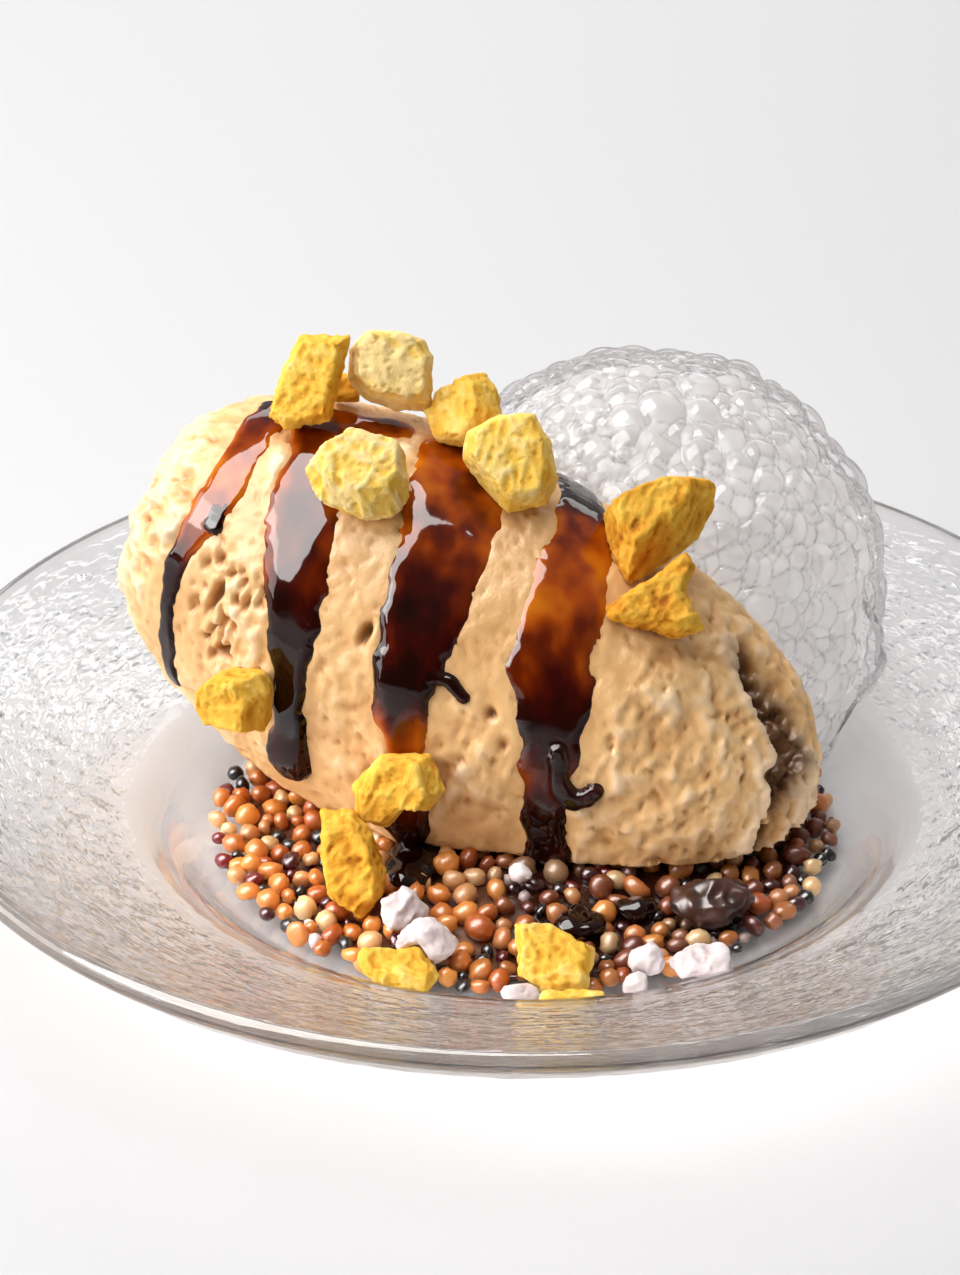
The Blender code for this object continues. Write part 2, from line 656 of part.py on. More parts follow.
def make_chunk(name, chunk, collection, material):
    """Extrude a chunk's outline in two steps, the broad face smaller and shifted."""
    outline = chunk["outline"]
    place = Vector(chunk["place"])
    half = chunk["thickness"] * MM / 2.0
    shrink, shift_right, shift_up = chunk["crest"]
    steps = ((0.86, 0.0, 0.0, -half), (1.0, 0.0, 0.0, -0.1 * half),
             (shrink, shift_right * MM, shift_up * MM, half))
    bm = bmesh.new()
    verts = [bm.verts.new((0.0, 0.0, 0.0)) for _ in outline]
    face = bm.faces.new(verts)
    for number, (scale, move_right, move_up, height) in enumerate(steps):
        if number:
            extruded = bmesh.ops.extrude_face_region(bm, geom=[face])["geom"]
            if number > 1:
                bmesh.ops.delete(bm, geom=[face], context="FACES_ONLY")
            face = next(item for item in extruded if isinstance(item, bmesh.types.BMFace))
        for vert, (right, up) in zip(face.verts, outline):
            spot = Vector((right * scale * MM + move_right, up * scale * MM + move_up, height))
            vert.co = spot + jitter(spot / (3.0 * MM) + place) * CHUNK_ROUGHNESS
    obj = new_object(name, bm, collection, material)
    obj.matrix_world = Matrix.Translation(place * MM) @ facing(*chunk["face"]).to_4x4()
    return obj


def make_lump(name, centre, half_sizes, turn_degrees, rough, collection, material):
    """A rounded lump with a rough surface."""
    bm = bmesh.new()
    bmesh.ops.create_icosphere(bm, subdivisions=2, radius=1.0)
    for vert in bm.verts:
        swell = 1.0 + rough * noise.noise(vert.co * 2.2 + centre / (5.0 * MM))
        vert.co = vert.co * swell * half_sizes
    obj = new_object(name, bm, collection, material)
    obj.location = centre
    obj.rotation_euler = (0.0, 0.0, math.radians(turn_degrees))
    smooth_shade(obj, 60)
    return obj


def surfaces_meet(obj, other):
    """Whether two objects' surfaces cross."""
    return bool(world_tree(obj).overlap(world_tree(other)))


def seat(obj, clearances, cutters):
    """Cut a piece back from all that it touches, and add it to what later ones clear."""
    bpy.context.view_layer.update()
    for cutter in clearances:
        if surfaces_meet(obj, cutter):
            boolean(obj, "DIFFERENCE", cutter)
    keep_main_body(obj)
    clearances.append(grown_copy(obj, SEAT_GAP, cutters))


def make_toppings(collection, cutters, neighbours):
    """Fruit chunks, meringue crumbs and the sauce lump, each seated on what carries it."""
    fruit = principled("dried_fruit", (0.86, 0.57, 0.12), 0.8)
    meringue = principled("meringue", (0.85, 0.8, 0.78), 0.7)
    chocolate = principled("chocolate_sauce", (0.06, 0.02, 0.01), 0.25)
    toppings = [make_chunk(name, chunk, collection, fruit) for name, chunk in CHUNKS.items()]
    for name, (centre, half_sizes, turn) in CRUMBS.items():
        toppings.append(make_lump(name, Vector(centre) * MM, Vector(half_sizes) * MM, turn,
                                  CRUMB_ROUGHNESS, collection, meringue))
    toppings.append(make_lump("sauce_lump", SAUCE_CENTRE, SAUCE_HALF_SIZES, SAUCE_TURN,
                              SAUCE_ROUGHNESS, collection, chocolate))
    clearances = [grown_copy(obj, SEAT_GAP, cutters) for obj in neighbours]
    for topping in toppings:
        seat(topping, clearances, cutters)
    empty_collection(cutters)
    return toppings


# Bed of grains

def bed_height(radius):
    """Height of the bed's core at a radius."""
    share = smoothstep((radius - BED_FLAT_RADIUS) / (BED_RADIUS - BED_FLAT_RADIUS))
    return BED_TOP + (BED_EDGE_TOP - BED_TOP) * share


def make_bed_core(collection):
    """The low mound under the grains."""
    floor = FLOOR_TOP + GAP
    profile = [(radius, bed_height(radius)) for radius in BED_RADII]
    profile += [(BED_RADIUS - 0.8 * MM, floor), (0.0, floor)]
    grain = principled("puffed_grain", (0.79, 0.44, 0.16), 0.6)
    return turned_solid("grain_bed", profile, BED_STEPS, collection, grain)


def world_tree(obj):
    """Search tree of an object's surface, in world space."""
    verts = [obj.matrix_world @ vert.co for vert in obj.data.vertices]
    return BVHTree.FromPolygons(verts, [tuple(face.vertices) for face in obj.data.polygons])


def is_clear(centre, radius, trees):
    """Whether a ball keeps its gap to every neighbour."""
    for tree in trees:
        distance = tree.find_nearest(centre)[3]
        exit_normal = tree.ray_cast(centre, Vector((0.0, 0.0, 1.0)))[1]
        inside = exit_normal is not None and exit_normal.z > 0.0
        if inside or distance < radius + GAP:
            return False
    return True


def fuse_grains(core, cutters, neighbours):
    """Fuse the largest grains that show onto the bed's core."""
    bpy.context.view_layer.update()
    trees = [world_tree(obj) for obj in neighbours]
    golden_angle = math.pi * (3.0 - math.sqrt(5.0))
    reach = BED_RADIUS + 0.6 * MM
    count = round(math.pi * reach ** 2 / (GRAIN_SPACING ** 2 * math.sqrt(3.0) / 2.0))
    noise.seed_set(GRAIN_SEED)
    for index in range(count):
        distance = reach * math.sqrt((index + 0.5) / count)
        turn = golden_angle * index
        shuffle = noise.random_unit_vector() * GRAIN_SHUFFLE
        radius = GRAIN_RADIUS * (1.0 + GRAIN_SPREAD * (noise.random() - 0.5))
        lift = (0.05 + 0.5 * noise.random()) * MM
        centre = Vector((distance * math.cos(turn), distance * math.sin(turn), 0.0)) + shuffle
        centre.z = max(bed_height(distance) + lift, FLOOR_TOP + 1.5 * GAP + radius)
        if not is_clear(centre, radius, trees):
            continue
        bm = bmesh.new()
        flatten = Matrix.Diagonal((1.0, 1.0, GRAIN_FLATNESS, 1.0))
        bmesh.ops.create_icosphere(bm, subdivisions=1, radius=radius,
                                   matrix=Matrix.Translation(centre)
                                   @ Matrix.Rotation(turn, 4, shuffle) @ flatten)
        new_object(f"grain_{index}", bm, cutters)
    boolean(core, "UNION", cutters, "MANIFOLD")
    empty_collection(cutters)
    keep_main_body(core)
    smooth_shade(core, 60)


def main():
    clear_scene()
    dish = new_collection("mousse_quenelle_plate")
    cutters = new_collection("cutters")
    plate = make_plate(dish)
    mousse = make_mousse(dish, cutters)
    bed = make_bed_core(dish)
    foam = make_foam(dish, cutters, [mousse, bed])
    toppings = make_toppings(dish, cutters, [plate, mousse, bed, foam])
    fuse_grains(bed, cutters, [plate, mousse, foam, *toppings])


main()
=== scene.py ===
"""Looks of a coffee mousse quenelle with syrup, dried fruit, puffed grains and foam.

Each operator makes one piece, or a group of like pieces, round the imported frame.
Values are in metres unless a name or a comment says millimetres. The plate's formulas
and the quenelle's are those of the solids, so each piece keeps the form it stands for.

Places on the quenelle are (along, around): millimetres along its long axis from the
middle towards the right end, and degrees round it from the back over the top (90) to
the front (180).
"""

import math

import bmesh
import bpy
import numpy as np
from bpy.props import FloatProperty, FloatVectorProperty, IntProperty, PointerProperty
from mathutils import Matrix, Vector, noise
from mathutils.bvhtree import BVHTree


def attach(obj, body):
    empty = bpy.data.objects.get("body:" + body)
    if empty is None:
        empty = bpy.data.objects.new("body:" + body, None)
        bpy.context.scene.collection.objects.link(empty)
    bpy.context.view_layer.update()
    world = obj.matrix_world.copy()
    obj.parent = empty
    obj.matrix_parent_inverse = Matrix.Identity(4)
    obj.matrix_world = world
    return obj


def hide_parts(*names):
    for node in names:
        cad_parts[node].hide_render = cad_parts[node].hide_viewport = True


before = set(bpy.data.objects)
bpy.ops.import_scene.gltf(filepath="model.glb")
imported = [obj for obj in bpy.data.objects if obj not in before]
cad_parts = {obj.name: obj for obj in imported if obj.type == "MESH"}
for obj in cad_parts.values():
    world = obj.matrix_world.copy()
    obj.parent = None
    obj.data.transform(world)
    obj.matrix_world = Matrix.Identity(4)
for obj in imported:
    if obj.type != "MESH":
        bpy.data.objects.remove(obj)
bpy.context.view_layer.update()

bl_info = {
    "name": "Plated Mousse Quenelle",
    "version": (1, 0, 0),
    "blender": (4, 5, 0),
    "location": "View3D > Sidebar > Dessert",
    "description": "Dresses a mousse quenelle and all that lies on its glass plate",
    "category": "Add Mesh",
}

MM = 0.001

# Plate
FLOOR_TOP = 3.0 * MM
FLOOR_RADIUS = 45.5 * MM
LIP_RADIUS = 54.0 * MM
LIP_HEIGHT = 10.2 * MM
FOOT_RADIUS = 45.0 * MM
PLATE_RADIUS = 85.0 * MM
PLATE_HEIGHT = 23.5 * MM
GLASS = 3.2 * MM
RIM_HOLLOW = 0.25
PLATE_COLUMNS = 560
# Where the rim's ripples start and stop, and how far they take to rise and to fade
RIPPLES_FROM, RIPPLES_RISE = 55.0 * MM, 5.0 * MM
RIPPLES_TO, RIPPLES_FADE = 81.0 * MM, 2.5 * MM
# Pressed strokes of the rim, in mm
STROKE_LENGTH = 3.4
STROKE_WIDTH = 1.1
STROKE_RADIUS = 70.0
STROKE_HEIGHT = 0.6 * MM

# Quenelle
MOUSSE_CENTRE = np.array((-7.3, 9.0, 23.0)) * MM
MOUSSE_HALF_LENGTH = 50.3
MOUSSE_HALF_DEPTH = 25.0 * MM
MOUSSE_HALF_HEIGHT = 31.0 * MM
MOUSSE_TURN = math.radians(-17.0)
MOUSSE_PITCH = math.radians(24.0)
MOUSSE_BASE = 8.5 * MM
END_FULLNESS = 0.325
UNEVENNESS = 0.5 * MM
LEFT_END_REACH = 2.2 * MM
RIGHT_END_SLANT = 0.8 * MM
TORN_DEPTH = 5.0 * MM
# Broad swellings and hollows: height in mm, middle along and around, reach along and around
SWELLINGS = (
    (-0.5, 26.0, 78.0, 18.0, 9.0),
    (-2.2, 30.0, 97.0, 15.0, 15.0),
    (2.6, 3.0, 212.0, 12.0, 20.0),
)

# Syrup runs: stations of (along mm, around degrees, width mm, thickness mm, darkness)
SYRUP_RUNS = {
    "far_left": (
        (-41.8, 88, 2.2, 0.3, 0.9), (-40.9, 106, 5.2, 0.35, 0.62), (-40.4, 122, 6.2, 0.35, 0.3),
        (-40.4, 140, 6.0, 0.4, 0.26), (-41.0, 156, 5.4, 0.4, 0.4), (-41.2, 172, 3.6, 0.5, 0.9),
        (-40.4, 188, 3.0, 0.6, 1.0), (-38.6, 206, 3.2, 0.6, 1.0), (-36.4, 222, 3.2, 0.6, 1.0)),
    "far_left_drop": ((-39.4, 146, 1.4, 0.4, 1.0), (-39.2, 153, 1.9, 0.6, 1.0)),
    "left": (
        (-34.6, 96, 6.8, 0.35, 0.5), (-31.4, 122, 8.8, 0.4, 0.5), (-29.0, 138, 10.2, 0.45, 0.62),
        (-26.4, 153, 9.4, 0.5, 0.76), (-23.8, 164, 7.8, 0.6, 0.9), (-22.0, 173, 6.8, 0.7, 0.96),
        (-20.4, 182, 5.4, 0.8, 1.0), (-18.6, 191, 4.9, 1.0, 1.0), (-16.9, 200, 6.0, 1.4, 1.0),
        (-15.6, 207, 7.0, 1.6, 1.0)),
    "middle": (
        (-15.4, 92, 10.3, 0.35, 0.36), (-12.6, 110, 12.2, 0.4, 0.34), (-10.2, 127, 12.4, 0.45, 0.5),
        (-8.8, 142, 11.4, 0.5, 0.74), (-7.2, 155, 9.9, 0.7, 0.84), (-5.8, 166, 8.8, 1.2, 1.0),
        (-3.2, 176, 5.8, 0.6, 0.42), (0.8, 188, 5.6, 0.5, 0.4), (3.5, 200, 6.8, 1.2, 1.0)),
    "middle_hook": (
        (-3.8, 160, 2.4, 0.9, 1.0), (-0.8, 158, 2.2, 0.9, 1.0), (2.0, 160, 1.6, 0.8, 1.0)),
    "right": (
        (0.0, 66, 7.5, 0.9, 1.0), (2.4, 84, 7.0, 0.7, 0.96), (4.5, 98, 8.0, 0.4, 0.42),
        (6.5, 114, 10.0, 0.4, 0.24), (8.2, 128, 10.4, 0.45, 0.34), (9.8, 140, 11.5, 0.5, 0.66),
        (12.5, 148, 10.4, 0.55, 0.84), (14.8, 158, 8.5, 0.6, 0.96), (16.8, 169, 6.3, 0.6, 0.7),
        (19.2, 180, 5.8, 0.8, 1.0), (21.8, 190, 6.3, 0.9, 1.0)),
    "right_hook": (
        (16.4, 160, 2.6, 1.4, 1.0), (18.2, 167, 2.8, 1.6, 1.0), (21.3, 170, 2.8, 1.6, 1.0),
        (23.4, 166, 2.0, 1.2, 1.0)),
    "crown_patch": (
        (-32.0, 93, 5.0, 0.2, 0.3), (-28.0, 93, 6.4, 0.25, 0.42), (-24.6, 88, 5.0, 0.2, 0.3)),
}

# The syrup's sheet: the stretch of the quenelle that it is drawn on (along in mm, around in
# degrees), how far its edge dips past the syrup and into the mousse, and its thickness below
SYRUP_ALONG = (-46.5, 29.0)
SYRUP_AROUND = (58.0, 232.0)
SYRUP_HEM = 0.28 * MM
SYRUP_SINK = 0.5 * MM
SYRUP_BODY = 0.5 * MM

# Length round the quenelle's side, in mm for each degree
MM_PER_DEGREE = 0.45

# Curdled patches: middle along and around, reach along and around
CURDLED = ((-15.0, 176.0, 4.5, 9.0), (7.0, 180.0, 6.5, 13.0))

# Air pockets: along, around, half length along in mm, half width around in mm, depth in mm
AIR_POCKETS = (
    (-34.8, 174, 0.9, 4.4, 2.0), (-30.5, 170, 0.8, 2.2, 1.7), (-30.2, 188, 1.5, 0.9, 1.6),
    (-33.8, 188, 0.8, 0.8, 1.2), (-13.8, 158, 0.9, 2.1, 2.4), (-16.5, 128, 0.6, 0.6, 0.9),
    (6.2, 160, 1.0, 1.0, 1.6), (9.8, 166, 0.8, 0.8, 1.1), (9.5, 171, 0.6, 0.6, 0.9),
    (5.2, 170, 0.5, 0.5, 0.7), (39.8, 138, 0.5, 1.5, 1.2), (35.8, 132, 0.4, 0.9, 0.9),
    (24.0, 140, 0.4, 1.2, 0.9), (34.2, 124, 0.4, 1.0, 0.8), (22.5, 152, 0.4, 0.8, 0.7),
    (29.8, 163, 0.4, 0.9, 0.8), (35.8, 144, 0.4, 1.1, 0.9), (-36.6, 162, 0.7, 1.4, 1.3),
    (-31.8, 178, 0.7, 1.6, 1.5), (-38.0, 166, 0.5, 1.6, 1.1), (-33.0, 162, 0.6, 1.5, 1.2),
)

# Bed of grains
BED_RADIUS = 42.0 * MM
BED_TOP = 7.9 * MM
BED_EDGE_TOP = 4.4 * MM
BED_FLAT_RADIUS = 20.0 * MM
# How far the core lies below the solid bed, and the gap that it keeps from the glass
CORE_DROP = 1.9 * MM
CORE_GAP = 0.3 * MM

# Kinds of grain in order: orange, cream, black, red and white
GRAIN_SHARES = (0.44, 0.29, 0.12, 0.09, 0.06)
GRAIN_SIZES = np.array((1.0, 0.94, 0.66, 0.74, 0.6))
SPOTS_TRIED = 70

# Syrup pools on the bed: middle and half sizes in mm
SYRUP_POOLS = (
    ((-15.5, -17.0, 7.4), (4.2, 8.0, 2.0)),
    ((7.4, -30.5, 6.4), (3.4, 3.6, 1.9)),
    ((15.0, -27.0, 6.6), (3.0, 2.6, 1.7)),
)

# Foam
FOAM_CENTRE = np.array((16.6, 36.0, 22.6)) * MM
FOAM_HALF_SIZES = np.array((37.0, 30.0, 37.2)) * MM
FOAM_FOOT_MIDDLE = 0.3
FOAM_UNEVENNESS = 0.03
# How far down from the top its shells reach, in radians, and their mean radii
FOAM_REACH = 2.42
FOAM_RISE_RADIUS = 36.0 * MM
FOAM_ROUND_RADIUS = 33.0 * MM
BUBBLES_TRIED = 12000
POINTS_AT_ONCE = 8000

# How much paler (above 0) or deeper in colour than the rest each chunk is: partly each chunk's own
# tone, partly painted shade, as the fallen chip and the ridge wedge are made deeper because they
# lie in shade
FRUIT_TONES_AND_SHADE = {
    "chunk_tall_slab": -0.12, "chunk_pale_block": 0.32, "chunk_upper_front": 0.2,
    "chunk_ridge_block": 0.06, "chunk_ridge_wedge": -0.34, "chunk_fallen_chip": -0.42,
    "chunk_low_cube": -0.18, "chunk_standing": -0.3, "chunk_arched": -0.18,
    "chunk_front_flat": -0.1, "chunk_front_plate": -0.04, "chunk_sliver": -0.2,
}

# Camera and light
CAMERA_LENS = 91.2
CAMERA_PLACE = (0.0, -0.392, 0.2444)
CAMERA_TARGET = (-0.0064, 0.0041, 0.0308)
WARM_WHITE = (1.0, 0.985, 0.97)

FRUIT = [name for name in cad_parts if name.startswith("chunk_")]
CRUMBS = [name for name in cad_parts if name.startswith("crumb_")]


def smoothstep(value):
    """Ease from 0 to 1."""
    value = np.clip(value, 0.0, 1.0)
    return value * value * (3.0 - 2.0 * value)


def ease(value, start, reach):
    """Ease from 0 at the start to 1 where the reach ends."""
    return smoothstep((value - start) / reach)


def uneven(points, size, seed=0):
    """Smooth noise within about one either way, with lumps of about that size."""
    points = np.asarray(points, dtype=float)
    spots = points.reshape(-1, 3) / size + np.array((17.1, 3.3, 5.7)) * seed
    values = np.array([noise.noise(spot) for spot in spots.tolist()])
    return values.reshape(points.shape[:-1])


def linear(colour):
    """Scene-linear RGBA of a screen colour."""
    parts = [part / 12.92 if part <= 0.04045 else ((part + 0.055) / 1.055) ** 2.4
             for part in colour]
    return (*parts, 1.0)


# Meshes

def turned_points(radius, turn, height):
    """Points at each radius, angle round the upright axis, and height."""
    return np.stack((radius * np.cos(turn), radius * np.sin(turn), height), -1)


def full_turn(columns):
    """Angles of a grid's columns, evenly round."""
    return np.linspace(0.0, math.tau, columns, endpoint=False)[None, :]


def grid_faces(rows, columns, wrap):
    """Quads between the points of a grid, closed round its columns if wrap is true."""
    row, column = np.meshgrid(np.arange(rows - 1), np.arange(columns - (not wrap)),
                              indexing="ij")
    after = (column + 1) % columns
    corners = (row * columns + column, row * columns + after,
               (row + 1) * columns + after, (row + 1) * columns + column)
    return np.stack(corners, -1).reshape(-1, 4)


def outward_faces(points, faces):
    """The faces of a closed mesh, turned so that they point out."""
    first = points[faces[:, 0]]
    volume = 0.0
    for corner in range(1, faces.shape[1] - 1):
        across = np.cross(points[faces[:, corner]], points[faces[:, corner + 1]])
        volume += (first * across).sum()
    return faces[:, ::-1] if volume < 0.0 else faces


def new_piece(name, mesh, material):
    """An object for a mesh, smooth shaded, that rides on the plate."""
    piece = bpy.data.objects.new(name, mesh)
    bpy.context.scene.collection.objects.link(piece)
    mesh.materials.clear()
    mesh.materials.append(material)
    mesh.shade_smooth()
    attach(piece, "root")
    return piece


def build_mesh(name, points, faces, values=None):
    """A mesh from arrays, with a named number for each point where given."""
    mesh = bpy.data.meshes.new(name)
    mesh.from_pydata(points.reshape(-1, 3).tolist(), [], faces.tolist())
    for label, numbers in (values or {}).items():
        keep_numbers(mesh, label, numbers)
    return mesh


def keep_numbers(mesh, label, numbers):
    """Keep a number for each point of a mesh under a name."""
    attribute = mesh.attributes.new(label, "FLOAT", "POINT")
    attribute.data.foreach_set("value", np.ravel(numbers).astype(np.float32))


def mesh_points(mesh, field="co"):
    """Points or point normals of a mesh as an array."""
    numbers = np.empty(len(mesh.vertices) * 3, dtype=np.float32)
    mesh.vertices.foreach_get(field, numbers)
    return numbers.reshape(-1, 3).astype(float)


def fine_copy(node, voxel, rounding):
    """A finely meshed copy of a solid, with its edges a little rounded."""
    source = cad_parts[node]
    copy = bpy.data.objects.new(f"{node}_fine", source.data.copy())
    bpy.context.scene.collection.objects.link(copy)
    copy.matrix_world = source.matrix_world
    remesh = copy.modifiers.new("fine", "REMESH")
    remesh.mode = "VOXEL"
    remesh.voxel_size = voxel
    smooth = copy.modifiers.new("rounded", "SMOOTH")
    smooth.iterations = rounding
    smooth.factor = 0.5
    depsgraph = bpy.context.evaluated_depsgraph_get()
    mesh = bpy.data.meshes.new_from_object(copy.evaluated_get(depsgraph))
    mesh.transform(copy.matrix_world)
    bpy.data.objects.remove(copy, do_unlink=True)
    return mesh


def push_points(mesh, heights, label=None):
    """Move a mesh's points along their normals, and keep the heights under a name."""
    points = mesh_points(mesh) + mesh_points(mesh, "normal") * heights[:, None]
    mesh.vertices.foreach_set("co", points.ravel().astype(np.float32))
    if label:
        keep_numbers(mesh, label, heights / MM)
    mesh.update()


# Materials

def new_material(name, roughness):
    """A material with its tree and its Principled shader."""
    material = bpy.data.materials.new(name)
    material.use_nodes = True
    tree = material.node_tree
    shader = tree.nodes["Principled BSDF"]
    shader.inputs["Roughness"].default_value = roughness
    return material, tree, shader


def set_inputs(tree, node, inputs):
    """Link or set inputs of a node, by name or number."""
    for key, value in inputs.items():
        if isinstance(value, bpy.types.NodeSocket):
            tree.links.new(value, node.inputs[key])
        else:
            node.inputs[key].default_value = value


def add_node(tree, kind, inputs=None, **settings):
    """A shader node with its settings and its inputs."""
    node = tree.nodes.new(f"ShaderNode{kind}")
    for field, value in settings.items():
        setattr(node, field, value)
    set_inputs(tree, node, inputs or {})
    return node


def noise_node(tree, size, detail=3.0, stretch=(1.0, 1.0, 1.0)):
    """Procedural noise with lumps of about that size."""
    place = add_node(tree, "TexCoord").outputs["Object"]
    scaled = add_node(tree, "Mapping", {"Vector": place, "Scale": stretch}).outputs["Vector"]
    texture = {"Vector": scaled, "Scale": 1.0 / size, "Detail": detail}
    return add_node(tree, "TexNoise", texture).outputs["Fac"]


def attribute_node(tree, label):
    """A number kept on the mesh's points."""
    return add_node(tree, "Attribute", attribute_name=label).outputs["Fac"]


def math_node(tree, operation, *values, clamp=False):
    """A sum, product or the like of sockets and numbers."""
    node = add_node(tree, "Math", dict(enumerate(values)), operation=operation, use_clamp=clamp)
    return node.outputs["Value"]


def vector_node(tree, operation, *values, result="Vector"):
    """The same for vectors."""
    node = add_node(tree, "VectorMath", dict(enumerate(values)), operation=operation)
    return node.outputs[result]


def colour_ramp(tree, factor, stops):
    """A colour for each place, by stops of (position, screen colour)."""
    node = add_node(tree, "ValToRGB", {"Fac": factor})
    elements = node.color_ramp.elements
    while len(elements) < len(stops):
        elements.new(0.5)
    for element, (position, colour) in zip(elements, stops):
        element.position = position
        element.color = linear(colour)
    return node.outputs["Color"]


def mix_colours(tree, factor, first, second, blend="MIX"):
    """Mix two colours, each a socket or a screen colour."""
    node = add_node(tree, "Mix", data_type="RGBA", blend_type=blend)
    first, second = (linear(colour) if isinstance(colour, tuple) else colour
                     for colour in (first, second))
    set_inputs(tree, node, {0: factor, 6: first, 7: second})
    return node.outputs[2]


def mix_shaders(tree, factor, first, second):
    """Two finishes mixed, from the first at 0 to the second at 1."""
    node = add_node(tree, "MixShader", {0: factor, 1: first.outputs[0], 2: second.outputs[0]})
    return node


def let_light_through(tree, surface, share, always=0.0):
    """Finish a material so that its shadow is only faint."""
    rays = add_node(tree, "LightPath").outputs["Is Shadow Ray"]
    clear = add_node(tree, "BsdfTransparent")
    factor = math_node(tree, "MULTIPLY_ADD", rays, share, always)
    mixer = mix_shaders(tree, factor, surface, clear)
    tree.links.new(mixer.outputs["Shader"], tree.nodes["Material Output"].inputs["Surface"])


def add_bump(tree, shader, height, depth, strength=1.0):
    """Fine relief in the shading, over the relief that the mesh holds."""
    node = add_node(tree, "Bump", {"Strength": strength, "Distance": depth, "Height": height})
    tree.links.new(node.outputs["Normal"], shader.inputs["Normal"])


# Settings

def length_setting(name, description, default):
    """A setting in metres."""
    return FloatProperty(name=name, description=description, default=default, unit="LENGTH")


def power_setting(name, description, default):
    """A setting in watts."""
    return FloatProperty(name=name, description=description, default=default, unit="POWER")


def colour_setting(name, description, default):
    """A setting that holds a screen colour."""
    return FloatVectorProperty(name=name, description=description, default=default, size=3,
                               subtype="COLOR_GAMMA")


class PlateLook(bpy.types.PropertyGroup):
    """Sizes and tints of the glass plate."""
    ripple_depth: length_setting("Ripple depth", "Height of the rim's ripples", 0.22 * MM)
    ripple_length: length_setting("Ripple length", "Length round the rim", 2.6 * MM)
    ripple_width: length_setting("Ripple width", "Width across the rim", 2.6 * MM)
    tint: colour_setting("Tint", "Colour of the glass", (0.905, 0.90, 0.90))
    slanted: colour_setting("Slanted", "Colour seen at a low angle", (0.71, 0.66, 0.62))


class MousseLook(bpy.types.PropertyGroup):
    """Relief and colours of the mousse."""
    lumps: length_setting("Lumps", "Height of the soft lumps", 0.55 * MM)
    strokes: length_setting("Strokes", "Depth of the spoon's strokes", 0.6 * MM)
    # Pale and Deep paint light on the raised parts and shade in the hollows.
    pale: colour_setting("Pale", "Colour of the raised parts", (0.88, 0.71, 0.49))
    deep: colour_setting("Deep", "Colour of the hollows", (0.76, 0.54, 0.31))


class SyrupLook(bpy.types.PropertyGroup):
    """Edges and colours of the syrup."""
    thin: colour_setting("Thin", "Colour where it is thin", (0.74, 0.40, 0.05))
    thick: colour_setting("Thick", "Colour where it is thick", (0.10, 0.02, 0.01))
    edge_wander: length_setting("Edge wander", "How uneven its edges are", 1.15 * MM)


class FruitLook(bpy.types.PropertyGroup):
    """Mesh and colours of the dried fruit."""
    voxel: length_setting("Mesh size", "Size of the fine mesh's cells", 0.3 * MM)
    # Pale and Deep paint light on the raised faces and shade in the pores and cracks.
    pale: colour_setting("Pale", "Colour of the dry faces", (0.93, 0.79, 0.42))
    deep: colour_setting("Deep", "Colour of pores and cracks", (0.84, 0.59, 0.16))


class GrainLook(bpy.types.PropertyGroup):
    """Number, sizes and colours of the puffed grains."""
    count: IntProperty(name="Count", description="Most grains that are tried", default=1500)
    seed: IntProperty(name="Seed", description="Draw of places and sizes", default=11)
    radius: length_setting("Radius", "Middle radius of an orange grain", 1.5 * MM)
    orange: colour_setting("Orange", "Colour of roasted grains", (0.93, 0.60, 0.25))
    cream: colour_setting("Cream", "Colour of pale grains", (0.93, 0.78, 0.55))
    red: colour_setting("Red", "Colour of red grains", (0.48, 0.04, 0.07))


class FoamLook(bpy.types.PropertyGroup):
    """Size and draw of the foam's bubbles."""
    bubble: length_setting("Bubble radius", "Middle radius of a bubble", 2.4 * MM)
    seed: IntProperty(name="Seed", description="Draw of the bubbles", default=4)


class StageLook(bpy.types.PropertyGroup):
    """Lights and floor."""
    key_power: power_setting("Key power", "Power of the softbox overhead", 4.4)
    front_power: power_setting("Front power", "Power of the softbox in front", 3.4)
    glint_power: power_setting("Glint power", "Power that only shows in gloss", 31.0)
    side_power: power_setting("Side power", "Power of the panel on the left", 5.6)
    back_power: power_setting("Back power", "Power of the light on the far table", 3.6)
    sky: FloatProperty(name="Surroundings", description="Brightness of the surroundings",
                       default=0.5)
    floor: colour_setting("Floor", "Colour of the table", (0.775, 0.775, 0.78))


class DessertLook(bpy.types.PropertyGroup):
    """All settings of the dessert."""
    plate: PointerProperty(type=PlateLook)
    mousse: PointerProperty(type=MousseLook)
    syrup: PointerProperty(type=SyrupLook)
    fruit: PointerProperty(type=FruitLook)
    grains: PointerProperty(type=GrainLook)
    foam: PointerProperty(type=FoamLook)
    stage: PointerProperty(type=StageLook)


# Plate

def plate_top(radius):
    """Height of the plate's upper face at each radius."""
    wall = FLOOR_TOP + (LIP_HEIGHT - FLOOR_TOP) * smoothstep(
        (radius - FLOOR_RADIUS) / (LIP_RADIUS - FLOOR_RADIUS))
    share = (radius - LIP_RADIUS) / (PLATE_RADIUS - LIP_RADIUS)
    rise = (1.0 - RIM_HOLLOW) * share + RIM_HOLLOW * share * share
    rim = LIP_HEIGHT + (PLATE_HEIGHT - LIP_HEIGHT) * rise
    return np.where(radius > LIP_RADIUS, rim, wall)


def soft_top(radius):
    """The upper face with its inner edge eased, as glass flows."""
    return sum(plate_top(radius + shift * MM) for shift in (-2.4, -1.2, 0.0, 1.2, 2.4)) / 5.0


